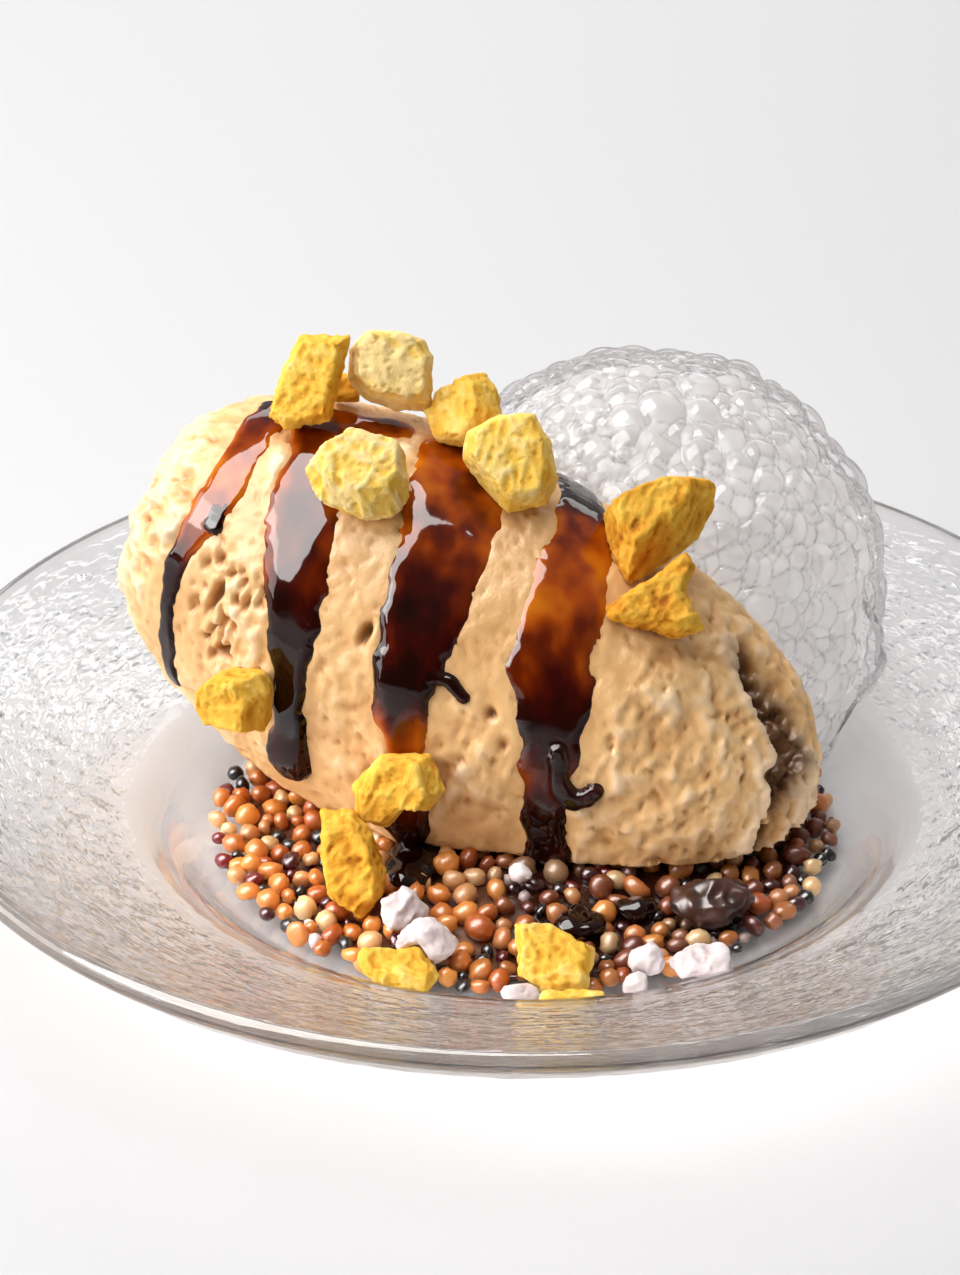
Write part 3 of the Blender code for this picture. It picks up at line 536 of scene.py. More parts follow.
def plate_section():
    """Fine section of the plate as (radius, height), from the floor's middle outwards."""
    step = 0.4 * MM
    floor = np.linspace(0.0, FLOOR_RADIUS, 14)
    rise = np.arange(FLOOR_RADIUS + step, PLATE_RADIUS - GLASS / 2.0, step)
    top = [(radius, soft_top(radius)) for radius in (*floor, *rise)]
    edge = GLASS / 2.0
    rim = [(PLATE_RADIUS - edge + edge * math.cos(angle),
            PLATE_HEIGHT - edge + edge * math.sin(angle))
           for angle in np.radians(np.linspace(80.0, -62.0, 9))]
    under = []
    for radius in rise[::-1]:
        if radius < FLOOR_RADIUS + GLASS:
            break
        slope = math.atan2(soft_top(radius + step) - soft_top(radius - step), 2.0 * step)
        under.append((radius + GLASS * math.sin(slope), soft_top(radius) - GLASS * math.cos(slope)))
    under = [point for point in under if point[0] < PLATE_RADIUS - 2.5 * MM]
    foot = [(FOOT_RADIUS + 2.6 * MM, 0.9 * MM), (FOOT_RADIUS, 0.0), (FOOT_RADIUS / 2.0, 0.0),
            (0.0, 0.0)]
    return np.array(top + rim + under + foot)


def ripples(radius, turn, look, seed):
    """Uneven waves that run round the rim."""
    wander = uneven(turned_points(radius, turn, np.full_like(radius, seed)), 6.0 * MM)
    across = radius / look.ripple_width + 0.9 * wander
    laps = np.round(math.tau * radius.mean() / look.ripple_length)
    swing = laps / math.tau
    ring = swing * 0.5 * radius / radius.max() + swing * 0.5
    spots = turned_points(ring, turn, across + seed)
    return uneven(spots, 1.0) + 0.45 * uneven(spots * 2.1, 1.0, 3)


def stroke_height(tree):
    """Short strokes round the rim, finer than the mesh, faded out towards the floor."""
    place = add_node(tree, "TexCoord").outputs["Object"]
    flat = vector_node(tree, "MULTIPLY", place, (1.0, 1.0, 0.0))
    radius = vector_node(tree, "LENGTH", flat, result="Value")
    across = add_node(tree, "CombineXYZ",
                      {"Z": math_node(tree, "DIVIDE", radius, STROKE_WIDTH * MM)})
    laps = STROKE_RADIUS / STROKE_LENGTH
    ring = vector_node(tree, "MULTIPLY", vector_node(tree, "NORMALIZE", flat), (laps, laps, 0.0))
    spot = vector_node(tree, "ADD", ring, across.outputs["Vector"])
    texture = {"Vector": spot, "Scale": 1.0, "Detail": 1.0, "Distortion": 0.4}
    strokes = add_node(tree, "TexNoise", texture).outputs["Fac"]
    return math_node(tree, "MULTIPLY", strokes, attribute_node(tree, "rim"))


def glass_material(look):
    """Clear pressed glass that lets most light through to its shadow."""
    material, tree, shader = new_material("clear_glass", 0.03)
    facing = add_node(tree, "LayerWeight").outputs["Facing"]
    slant = math_node(tree, "MULTIPLY_ADD", facing, 3.0, -1.42, clamp=True)
    set_inputs(tree, shader, {
        "Base Color": mix_colours(tree, slant, tuple(look.tint), tuple(look.slanted)),
        "Transmission Weight": 1.0, "IOR": 1.5})
    add_bump(tree, shader, stroke_height(tree), STROKE_HEIGHT)
    let_light_through(tree, shader, 0.58, 0.12)
    return material


class DESSERT_OT_plate(bpy.types.Operator):
    """Make the rippled glass plate"""
    bl_idname = "dessert.plate"
    bl_label = "Glass plate"

    def execute(self, context):
        look = context.scene.dessert.plate
        section = plate_section()
        turn = full_turn(PLATE_COLUMNS)
        radius = section[:, 0][:, None] + 0.0 * turn
        height = section[:, 1][:, None] + 0.0 * turn
        rim = ease(radius, RIPPLES_FROM, RIPPLES_RISE)
        rim = rim * (1.0 - ease(radius, RIPPLES_TO, RIPPLES_FADE))
        under = (height < plate_top(radius) - GLASS / 2.0).astype(float)
        turn = turn + 0.0 * radius
        upper_waves = ripples(radius, turn, look, 1.5)
        lower_waves = ripples(radius, turn, look, 40.5)
        waves = rim * (0.35 * (1.0 - under) * upper_waves + under * lower_waves)
        height = height + look.ripple_depth * waves
        points = turned_points(radius, turn, height).reshape(-1, 3)
        faces = outward_faces(points, grid_faces(len(section), PLATE_COLUMNS, True))
        mesh = build_mesh("glass_plate", points, faces, {"rim": rim})
        piece = new_piece("glass_plate", mesh, glass_material(look))
        merge_poles(piece.data)
        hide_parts("plate")
        return {"FINISHED"}


def merge_poles(mesh):
    """Weld the points that fall together at the ends of a turned grid."""
    bm = bmesh.new()
    bm.from_mesh(mesh)
    bmesh.ops.remove_doubles(bm, verts=bm.verts[:], dist=0.002 * MM)
    bm.to_mesh(mesh)
    bm.free()


# Quenelle

ALONG = np.array((math.cos(MOUSSE_PITCH) * math.cos(MOUSSE_TURN),
                  math.cos(MOUSSE_PITCH) * math.sin(MOUSSE_TURN), -math.sin(MOUSSE_PITCH)))
ACROSS = np.array((-math.sin(MOUSSE_TURN), math.cos(MOUSSE_TURN), 0.0))
OVER = np.cross(ALONG, ACROSS)


def torn_lip(around):
    """Where the smooth skin stops at the right end, in mm along, by degrees around."""
    return 31.0 + 16.0 * ease(around, 104.0, 30.0)


def ragged_lip(around):
    """The same edge as it is torn in the fine surface."""
    return (28.0 + 3.0 * ease(around, 84.0, 18.0)
            + 11.5 * ease(around, 102.0, 24.0) + 3.0 * ease(around, 130.0, 14.0))


def torn_share(along, around):
    """How deep the torn right end lies, from 0 on the skin to 1."""
    past_lip = smoothstep((along - torn_lip(around)) / 2.4)
    below_crest = ease(around, 82.0, 16.0)
    front_fade = 1.0 - 0.6 * ease(around, 125.0, 30.0)
    inside_rim = 1.0 - ease(along, 44.0, 5.5)
    return past_lip * below_crest * front_fade * inside_rim


def soft_patch(along, around, middle_along, middle_around, reach_along, reach_around):
    """A patch of the quenelle, 1 at its middle and soft at its edge."""
    return np.exp(-((along - middle_along) / reach_along) ** 2
                  - ((around - middle_around) / reach_around) ** 2)


def mousse_relief(along, around):
    """Height of the mousse above its plain form."""
    angle = np.radians(around)
    spots = np.stack((along / 9.0, 1.6 * np.cos(angle), 1.6 * np.sin(angle)), -1)
    broad = sum(height * MM * soft_patch(along, around, *place) for height, *place in SWELLINGS)
    return UNEVENNESS * uneven(spots, 1.0) + broad - TORN_DEPTH * torn_share(along, around)


def on_quenelle(along, around):
    """Points of the quenelle's surface, by mm along and degrees around."""
    share = np.clip(np.abs(along / MOUSSE_HALF_LENGTH), 0.0, 1.0)
    fullness = (1.0 - share * share) ** END_FULLNESS
    angle = np.radians(around)
    ring = (ACROSS * (MOUSSE_HALF_DEPTH * np.cos(angle))[..., None]
            + OVER * (MOUSSE_HALF_HEIGHT * np.sin(angle))[..., None])
    outward = ring / np.linalg.norm(ring, axis=-1)[..., None]
    left = ease(-along, 36.0, 12.0)
    right = ease(along, 38.0, 10.0)
    upper_front = np.cos(np.radians(around - 150.0)) * fullness
    front = -np.cos(angle) * fullness
    shift = (-LEFT_END_REACH * left * (0.6 + 0.6 * upper_front)
             - RIGHT_END_SLANT * right * (0.4 + 0.8 * front))
    relief = mousse_relief(along, around) * fullness
    points = (MOUSSE_CENTRE + ALONG * (along * MM + shift)[..., None]
              + ring * fullness[..., None] + outward * relief[..., None])
    points[..., 2] = np.maximum(points[..., 2], MOUSSE_BASE)
    return points


def grid_normals(points, wrap):
    """Outward normals of a grid of points on the quenelle."""
    along_edge = np.gradient(points, axis=0)
    if wrap:
        around_edge = np.roll(points, -1, axis=1) - np.roll(points, 1, axis=1)
    else:
        around_edge = np.gradient(points, axis=1)
    normals = np.cross(around_edge, along_edge)
    length = np.linalg.norm(normals, axis=-1)[..., None]
    return normals / np.maximum(length, 1e-12)


def smooth_path(stations, step):
    """Rows of a smooth curve through the stations, about one step apart."""
    stations = np.array(stations, dtype=float)
    padded = np.concatenate((stations[:1], stations, stations[-1:]))
    rows = []
    for index in range(len(stations) - 1):
        before, start, end, after = padded[index:index + 4]
        length = np.linalg.norm(on_quenelle(end[0:1], end[1:2])
                                - on_quenelle(start[0:1], start[1:2]))
        share = np.linspace(0.0, 1.0, max(2, round(length / step)), endpoint=False)[:, None]
        rows.append(0.5 * (2.0 * start + (end - before) * share
                           + (2.0 * before - 5.0 * start + 4.0 * end - after) * share ** 2
                           + (3.0 * start - before - 3.0 * end + after) * share ** 3))
    return np.concatenate(rows + [stations[-1:]])


def syrup_cover(points, look):
    """Syrup's height over the mousse and its darkness at each point; negative outside it."""
    flat = points.reshape(-1, 3)
    wander = look.edge_wander * (0.85 * uneven(flat, 3.8 * MM, 2) + 0.3 * uneven(flat, 1.5 * MM, 3))
    height = np.full(len(flat), -3.0 * MM)
    darkness = np.zeros(len(flat))
    for stations in SYRUP_RUNS.values():
        rows = smooth_path(stations, 0.5 * MM)
        path = on_quenelle(rows[:, 0], rows[:, 1])
        near = np.flatnonzero(((flat > path.min(0) - 9.0 * MM)
                               & (flat < path.max(0) + 9.0 * MM)).all(1))
        if not len(near):
            continue
        gaps = np.linalg.norm(flat[near][:, None, :] - path[None, :, :], axis=-1)
        gaps = gaps - rows[:, 2] * (MM / 2.0)
        best = gaps.argmin(1)
        half = rows[best, 2] * (MM / 2.0)
        share = 1.0 + (gaps[np.arange(len(near)), best] + wander[near]) / half
        crown = rows[best, 3] * MM * (1.0 - np.clip(share, 0.0, 1.0) ** 6)
        here = np.where(share < 1.0, crown, -(share - 1.0) * half * 0.9)
        inner = 1.0 - ease(share, 0.35, 0.75)
        dark = rows[best, 4] * (0.35 + 0.65 * inner)
        dark = np.maximum(dark, 1.5 * rows[best, 4] - 0.55)
        higher = here > height[near]
        chosen = near[higher]
        height[chosen] = here[higher]
        darkness[chosen] = dark[higher]
    return height.reshape(points.shape[:-1]), darkness.reshape(points.shape[:-1])


def pocket_depth(along, around):
    """Depth of the air pockets at each place."""
    depth = np.zeros_like(along)
    for middle_along, middle_around, half_along, half_around, deep in AIR_POCKETS:
        distance = np.sqrt(((along - middle_along) / half_along) ** 2
                           + ((around - middle_around) * MM_PER_DEGREE / half_around) ** 2)
        depth = np.maximum(depth, deep * MM * (1.0 - smoothstep(distance / 1.15)))
    return depth


def creases(points, size, seed):
    """Noise with sharp valleys: 1 on the ridges, falling below 0 in the creases."""
    return 1.0 - 2.6 * np.abs(uneven(points, size, seed))


def mousse_detail(points, along, around, look):
    """Fine relief of the mousse, and the share of it that takes painted shade: the part torn open
    and, a little less, the flank beside it.
    """
    right = ease(along, 14.0, 14.0)
    left = ease(-along, 40.0, 5.0)
    arc = around * MM_PER_DEGREE
    flat = np.zeros_like(along)
    wobble = 1.2 * uneven(points, 6.0 * MM, 5)
    strokes = uneven(np.stack((along / 1.7 + wobble, arc / 4.2, flat), -1), 1.0, 6)
    wrinkles = creases(np.stack((along / 2.6 - wobble, arc / 3.4, flat), -1), 1.0, 7)
    lumps = uneven(points, 4.6 * MM, 8) + 0.6 * uneven(points, 2.1 * MM, 9)
    fine = uneven(points, 0.9 * MM, 10)
    pits = ease(uneven(points, 1.15 * MM, 25), 0.36, 0.14)
    curdled = ease(uneven(points, 9.0 * MM, 20), -0.12, 0.4)
    for place in CURDLED:
        curdled = np.maximum(curdled, 1.5 * soft_patch(along, around, *place))
    rough = 0.4 + 0.6 * np.maximum(right, curdled)
    height = look.lumps * lumps * (rough + 0.6 * left) + 0.07 * MM * fine
    height -= 0.4 * MM * pits * (0.35 + 0.65 * rough)
    height += look.strokes * (rough - 0.3 + 0.8 * left) * (0.7 * strokes + 0.5 * wrinkles)
    height += 0.2 * MM * rough * creases(points, 1.6 * MM, 24)
    blunt = ease(-along, 45.5, 2.5) * ease(around, 60.0, 30.0)
    height += 0.9 * MM * blunt * creases(points, 3.4 * MM, 26)
    sponge = ease(along, -39.0, 3.0) * (1.0 - ease(along, -29.5, 3.0))
    sponge = sponge * ease(around, 157.0, 8.0) * (1.0 - ease(around, 192.0, 8.0))
    cells = uneven(np.stack((along / 1.1, arc / 2.4, flat), -1), 1.0, 12)
    height -= 1.15 * MM * sponge * ease(cells, 0.08, 0.24)
    height += 0.3 * MM * sponge * uneven(points, 1.8 * MM, 13)
    ragged = 1.5 * uneven(points, 3.2 * MM, 15) + 0.7 * uneven(points, 1.3 * MM, 17)
    past_lip = (along - ragged_lip(around) + ragged) / 1.5
    open_side = ease(around, 84.0, 12.0) * (1.0 - ease(around, 160.0, 14.0))
    inside_rim = 1.0 - ease(along, 45.5, 3.5)
    torn = smoothstep(past_lip) * open_side * inside_rim
    height -= 3.0 * MM * torn * np.exp(-np.maximum(past_lip * 1.5, 0.0) / 9.0)
    height += 1.5 * MM * torn * creases(points, 3.6 * MM, 14)
    height += 0.5 * MM * torn * creases(points, 1.5 * MM, 18)
    ridge = np.exp(-((past_lip + 0.5) / 0.7) ** 2) * open_side
    height += 0.8 * MM * ridge
    flank = ease(along, 26.0, 6.0) * ease(around, 72.0, 8.0)
    flank = flank * (1.0 - ease(past_lip, -1.0, 1.5))
    flank = flank * (1.0 - ease(around, 100.0, 12.0))
    height += 0.5 * MM * flank * creases(points, 2.0 * MM, 19)
    scallops = ease(along, 45.0, 3.0) * ease(around, 60.0, 20.0)
    height += 1.1 * MM * scallops * creases(points, 3.0 * MM, 16)
    return height - pocket_depth(along, around), np.maximum(torn, 0.8 * flank)


def mousse_material(look):
    """Satin mousse with painted shade: deeper in colour in its hollows, at its torn end and on the
    flank beside it, and paler on its raised parts as painted light.
    """
    material, tree, shader = new_material("coffee_mousse", 0.38)
    # Painted shade and light: the hollows of the relief take the deep colours and its raised parts
    # the pale ones.
    hollow = math_node(tree, "MULTIPLY_ADD", attribute_node(tree, "relief"), 0.55, 0.62)
    cloud = math_node(tree, "MULTIPLY_ADD", noise_node(tree, 9.0 * MM, 2.0), 0.5, -0.25)
    factor = math_node(tree, "ADD", hollow, cloud)
    colour = colour_ramp(tree, factor, ((0.0, (0.60, 0.42, 0.24)), (0.3, tuple(look.deep)),
                                        (0.75, tuple(look.pale)), (1.0, (0.91, 0.79, 0.64))))
    # Painted shade: the torn right end and the flank beside it are darkened and greyed, as if in
    # the lip's shadow.
    torn_end_painted_shade = mix_colours(tree, attribute_node(tree, "torn"), colour, (0.42, 0.33, 0.24),
                         "MULTIPLY")
    set_inputs(tree, shader, {"Base Color": torn_end_painted_shade, "Specular IOR Level": 0.24})
    add_bump(tree, shader, noise_node(tree, 0.6 * MM, 3.0), 0.12 * MM, 0.6)
    return material


def syrup_material(look):
    """Glossy syrup, amber where thin and nearly black where thick."""
    material, tree, shader = new_material("dark_syrup", 0.05)
    streaks = noise_node(tree, 4.2 * MM, 1.6, (1.0, 1.0, 0.5))
    patches = math_node(tree, "MULTIPLY_ADD", streaks, 1.0, -0.46)
    factor = math_node(tree, "ADD", attribute_node(tree, "darkness"), patches)
    colour = colour_ramp(tree, factor, (
        (0.05, tuple(look.thin)), (0.3, (0.58, 0.24, 0.01)), (0.52, (0.37, 0.11, 0.0)),
        (0.75, (0.21, 0.03, 0.01)), (1.0, tuple(look.thick))))
    set_inputs(tree, shader, {"Base Color": colour, "Specular IOR Level": 0.32})
    add_bump(tree, shader, noise_node(tree, 3.0 * MM, 1.0), 0.05 * MM, 0.5)
    return material


class DESSERT_OT_mousse(bpy.types.Operator):
    """Make the quenelle of mousse"""
    bl_idname = "dessert.mousse"
    bl_label = "Mousse"

    def execute(self, context):
        looks = context.scene.dessert
        rows = 310
        columns = 340
        along, around = np.meshgrid(
            -MOUSSE_HALF_LENGTH * np.cos(np.linspace(0.0, math.pi, rows)),
            np.linspace(0.0, 360.0, columns, endpoint=False), indexing="ij")
        base = on_quenelle(along, around)
        cover = smoothstep(syrup_cover(base, looks.syrup)[0] / (0.25 * MM) + 0.5)
        detail, torn = mousse_detail(base, along, around, looks.mousse)
        detail = detail * (1.0 - cover)
        ends = np.sin(np.linspace(0.0, math.pi, rows))[:, None]
        detail = detail * smoothstep(ends / 0.12)
        points = base + grid_normals(base, True) * detail[..., None]
        points[..., 2] = np.maximum(points[..., 2], MOUSSE_BASE)
        flat = points.reshape(-1, 3)
        faces = outward_faces(flat, grid_faces(rows, columns, True))
        # The torn share sets where painted shade darkens the torn end and its flank.
        mesh = build_mesh("mousse_quenelle", flat, faces, {"relief": detail / MM, "torn": torn})
        merge_poles(mesh)
        piece = new_piece("mousse_quenelle", mesh, mousse_material(looks.mousse))
        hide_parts("mousse")
        return {"FINISHED"}


class DESSERT_OT_syrup(bpy.types.Operator):
    """Make the syrup that runs down the mousse"""
    bl_idname = "dessert.syrup"
    bl_label = "Syrup"

    def execute(self, context):
        look = context.scene.dessert.syrup
        along, around = np.meshgrid(np.linspace(*SYRUP_ALONG, 260),
                                    np.linspace(*SYRUP_AROUND, 300), indexing="ij")
        base = on_quenelle(along, around)
        height, darkness = syrup_cover(base, look)
        swell = 0.12 * MM * uneven(base, 5.0 * MM, 21)
        height = height + np.where(height > 0.0, swell * smoothstep(height / (0.8 * MM)), 0.0)
        points = base + grid_normals(base, False) * np.maximum(height, -SYRUP_SINK)[..., None]
        flat = points.reshape(-1, 3)
        faces = grid_faces(*along.shape, False)
        faces = faces[(height.reshape(-1)[faces] > -SYRUP_HEM).any(1)]
        used, faces = np.unique(faces, return_inverse=True)
        faces = faces.reshape(-1, 4)
        mesh = build_mesh("syrup", flat[used], faces, {"darkness": darkness.reshape(-1)[used]})
        piece = new_piece("syrup", mesh, syrup_material(look))
        thicken(piece, SYRUP_BODY)
        return {"FINISHED"}


def thicken(piece, thickness):
    """Turn a sheet into a closed body below it."""
    bm = bmesh.new()
    bm.from_mesh(piece.data)
    bmesh.ops.recalc_face_normals(bm, faces=bm.faces[:])
    middle = Vector(MOUSSE_CENTRE)
    facing = sum((face.calc_center_median() - middle).dot(face.normal) for face in bm.faces)
    if facing < 0.0:
        bmesh.ops.reverse_faces(bm, faces=bm.faces[:])
    bm.to_mesh(piece.data)
    bm.free()
    solid = piece.modifiers.new("body", "SOLIDIFY")
    solid.thickness = thickness
    solid.offset = -1.0
    depsgraph = bpy.context.evaluated_depsgraph_get()
    mesh = bpy.data.meshes.new_from_object(piece.evaluated_get(depsgraph))
    piece.modifiers.clear()
    piece.data = mesh


# Dried fruit, crumbs and sauce

def fruit_material(look):
    """Porous dried fruit, with painted shade in its pores and cracks and painted light on its
    raised faces.
    """
    material, tree, shader = new_material("dried_fruit", 0.75)
    # Painted shade and light: low relief takes the deep colours, raised faces the pale ones.
    relief = math_node(tree, "MULTIPLY_ADD", attribute_node(tree, "relief"), 0.75, 0.68)
    speck = math_node(tree, "MULTIPLY_ADD", noise_node(tree, 0.8 * MM, 4.0), 0.4, -0.2)
    cloud = math_node(tree, "MULTIPLY_ADD", noise_node(tree, 4.0 * MM, 1.0), 0.7, -0.35)
    # Each chunk's tone, with painted shade on the chunks that lie in shade.
    relief = math_node(tree, "ADD", relief, attribute_node(tree, "tone"))
    factor = math_node(tree, "ADD", math_node(tree, "ADD", relief, speck), cloud)
    colour = colour_ramp(tree, factor, ((0.0, (0.70, 0.42, 0.08)), (0.25, tuple(look.deep)),
                                        (0.6, (0.91, 0.72, 0.27)), (0.85, tuple(look.pale)),
                                        (1.0, (0.93, 0.82, 0.56))))
    set_inputs(tree, shader, {"Base Color": colour, "Specular IOR Level": 0.08})
    add_bump(tree, shader, noise_node(tree, 0.35 * MM, 4.0), 0.14 * MM, 0.8)
    return material


def fruit_relief(points, order):
    """Torn and fibrous surface of a chunk of dried fruit."""
    turn = 0.9 + 0.7 * order
    fibre = np.array((math.sin(turn) * 0.5, math.cos(turn) * 0.4, 0.85))
    fibre = fibre / np.linalg.norm(fibre)
    stretched = points - 0.72 * (points @ fibre)[:, None] * fibre
    seed = 30 + 5 * order
    broad = uneven(points, 4.5 * MM, seed)
    torn = creases(points, 3.2 * MM, seed + 1)
    fibres = creases(stretched, 1.3 * MM, seed + 2)
    pores = uneven(points, 0.7 * MM, seed + 3)
    height = 0.2 * broad + 0.16 * torn + 0.22 * fibres
    return MM * (height - 0.2 * ease(pores, 0.26, 0.2) - 0.14)


class DESSERT_OT_fruit(bpy.types.Operator):
    """Make the chunks of dried fruit"""
    bl_idname = "dessert.fruit"
    bl_label = "Dried fruit"

    def execute(self, context):
        look = context.scene.dessert.fruit
        material = fruit_material(look)
        for order, node in enumerate(FRUIT):
            mesh = fine_copy(node, look.voxel, 2)
            push_points(mesh, fruit_relief(mesh_points(mesh), order), "relief")
            # The tone holds painted shade for the chunks that lie in shade.
            keep_numbers(mesh, "tone", np.full(len(mesh.vertices), FRUIT_TONES_AND_SHADE.get(node, 0.0)))
            piece = new_piece(f"fruit_{node[6:]}", mesh, material)
            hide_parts(node)
        return {"FINISHED"}


def crumb_material():
    """Dry white meringue, with painted shade in its cracks and hollows."""
    material, tree, shader = new_material("white_meringue", 0.6)
    # Painted shade: low relief takes the darker greys.
    relief = math_node(tree, "MULTIPLY_ADD", attribute_node(tree, "relief"), 0.6, 0.6)
    colour = colour_ramp(tree, relief, ((0.0, (0.64, 0.56, 0.56)), (0.5, (0.85, 0.80, 0.80)),
                                        (0.9, (0.93, 0.90, 0.90))))
    set_inputs(tree, shader, {"Base Color": colour, "Specular IOR Level": 0.1})
    add_bump(tree, shader, noise_node(tree, 0.4 * MM, 3.0), 0.08 * MM, 0.6)
    return material


class DESSERT_OT_crumbs(bpy.types.Operator):
    """Make the meringue crumbs"""
    bl_idname = "dessert.crumbs"
    bl_label = "Meringue crumbs"

    def execute(self, context):
        material = crumb_material()
        for order, node in enumerate(CRUMBS):
            mesh = fine_copy(node, 0.26 * MM, 2)
            points = mesh_points(mesh)
            broad = uneven(points, 3.6 * MM, 110 + order)
            cracks = creases(points, 2.4 * MM, 120 + order)
            rough = uneven(points, 0.8 * MM, 130 + order)
            push_points(mesh, MM * (0.9 * broad + 0.22 * cracks + 0.16 * rough - 0.15), "relief")
            piece = new_piece(f"meringue_{node[6:]}", mesh, material)
            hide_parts(node)
        return {"FINISHED"}


class DESSERT_OT_sauce(bpy.types.Operator):
    """Make the lump of chocolate sauce"""
    bl_idname = "dessert.sauce"
    bl_label = "Chocolate sauce"

    def execute(self, context):
        material, tree, shader = new_material("chocolate_sauce", 0.34)
        colour = colour_ramp(tree, noise_node(tree, 3.0 * MM, 3.0),
                             ((0.3, (0.14, 0.05, 0.02)), (0.7, (0.27, 0.12, 0.07))))
        set_inputs(tree, shader, {
            "Base Color": colour, "Coat Weight": 0.2, "Coat Roughness": 0.2})
        mesh = fine_copy("sauce_lump", 0.3 * MM, 6)
        points = mesh_points(mesh)
        push_points(mesh, MM * (1.3 * uneven(points, 3.4 * MM, 150)
                                + 0.3 * creases(points, 2.2 * MM, 151) - 0.2))
        piece = new_piece("chocolate_lump", mesh, material)
        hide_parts("sauce_lump")
        return {"FINISHED"}


class DESSERT_OT_pools(bpy.types.Operator):
    """Make the syrup that has run down between the grains"""
    bl_idname = "dessert.pools"
    bl_label = "Syrup pools"

    def execute(self, context):
        bm = bmesh.new()
        for middle, half_sizes in SYRUP_POOLS:
            place = Matrix.LocRotScale(Vector(middle) * MM, None, Vector(half_sizes) * MM)
            bmesh.ops.create_icosphere(bm, subdivisions=5, radius=1.0, matrix=place)
        mesh = bpy.data.meshes.new("syrup_pools")
        bm.to_mesh(mesh)
        bm.free()
        points = mesh_points(mesh)
        push_points(mesh, 0.9 * MM * uneven(points, 3.0 * MM, 170) - 0.3 * MM)
        keep_numbers(mesh, "darkness", np.full(len(points), 1.1))
        new_piece("syrup_pools", mesh, syrup_material(context.scene.dessert.syrup))
        return {"FINISHED"}


# Bed of grains

def bed_height(radius):
    """Height of the solid bed's core at each radius."""
    share = smoothstep((radius - BED_FLAT_RADIUS) / (BED_RADIUS - BED_FLAT_RADIUS))
    return BED_TOP + (BED_EDGE_TOP - BED_TOP) * share


def sauce_and_shade(x, y):
    """How much sauce lies between the grains at each place, with painted shade: it rises to the
    right, where the mousse shades the bed.
    """
    dry_edge = ease(-y, 36.0 * MM, 8.0 * MM)
    return ease(x, -14.0 * MM, 16.0 * MM) * (1.0 - 0.3 * dry_edge)


def core_height(x, y):
    """Height of what the upper grains rest on: the glass or the grains below."""
    radius = np.hypot(x, y)
    height = bed_height(radius) - CORE_DROP
    outside = smoothstep((radius - BED_RADIUS + 4.0 * MM) / (2.4 * MM))
    lowest = FLOOR_TOP + CORE_GAP
    return np.maximum(height * (1.0 - outside) + lowest * outside, lowest)


def grain_core():
    """The dark mass that shows between the grains: its dark brown is painted shade in the gaps
    between them.
    """
    material, tree, shader = new_material("bed_between_grains", 0.4)
    # Painted shade: the gaps between the grains are filled with dark brown.
    dry = colour_ramp(tree, noise_node(tree, 3.0 * MM, 3.0),
                      ((0.35, (0.30, 0.14, 0.06)), (0.65, (0.56, 0.33, 0.15))))
    # Sauce and painted shade: the core is darker still to the right.
    wet_and_shaded = colour_ramp(tree, noise_node(tree, 4.0 * MM, 3.0),
                      ((0.35, (0.11, 0.04, 0.02)), (0.65, (0.24, 0.10, 0.05))))
    wet_and_shaded_share = attribute_node(tree, "wet_and_shaded")
    set_inputs(tree, shader, {
        "Base Color": mix_colours(tree, wet_and_shaded_share, dry, wet_and_shaded),
        "Roughness": math_node(tree, "MULTIPLY_ADD", wet_and_shaded_share, -0.3, 0.45)})
    rows = 70
    columns = 260
    share = np.linspace(0.0, 1.0, rows)[:, None]
    turn = full_turn(columns)
    radius = (BED_RADIUS - 2.0 * MM) * share + 0.0 * turn
    points = turned_points(radius, turn, 0.0 * radius)
    points[..., 2] = (core_height(points[..., 0], points[..., 1])
                      + 0.8 * MM * sauce_and_shade(points[..., 0], points[..., 1]))
    points[..., 2] += 0.3 * MM * uneven(points, 2.4 * MM, 160) * (1.0 - share ** 8)
    lower = points[::-1].copy()
    lower[..., 2] = FLOOR_TOP + 0.1 * MM
    points = np.concatenate((points, lower[:1] * np.array((0.99, 0.99, 1.0)), lower[-1:]))
    flat = points.reshape(-1, 3)
    faces = outward_faces(flat, grid_faces(len(points), columns, True))
    mesh = build_mesh("grain_core", flat, faces, {"wet_and_shaded": sauce_and_shade(flat[:, 0], flat[:, 1])})
    merge_poles(mesh)
    piece = new_piece("grain_core", mesh, material)
    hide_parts("grain_bed")


def solid_tree(name):
    """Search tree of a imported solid."""
    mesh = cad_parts[name].data
    return BVHTree.FromPolygons([vert.co for vert in mesh.vertices],
                                [tuple(face.vertices) for face in mesh.polygons])


def is_clear(centre, radius, trees):
    """Whether a ball keeps clear of every neighbour."""
    for tree in trees:
        distance = tree.find_nearest(centre)[3]
        if distance < radius:
            return False
        exit_normal = tree.ray_cast(centre, Vector((0.0, 0.0, 1.0)))[1]
        if exit_normal is not None and exit_normal.z > 0.0:
            return False
    return True


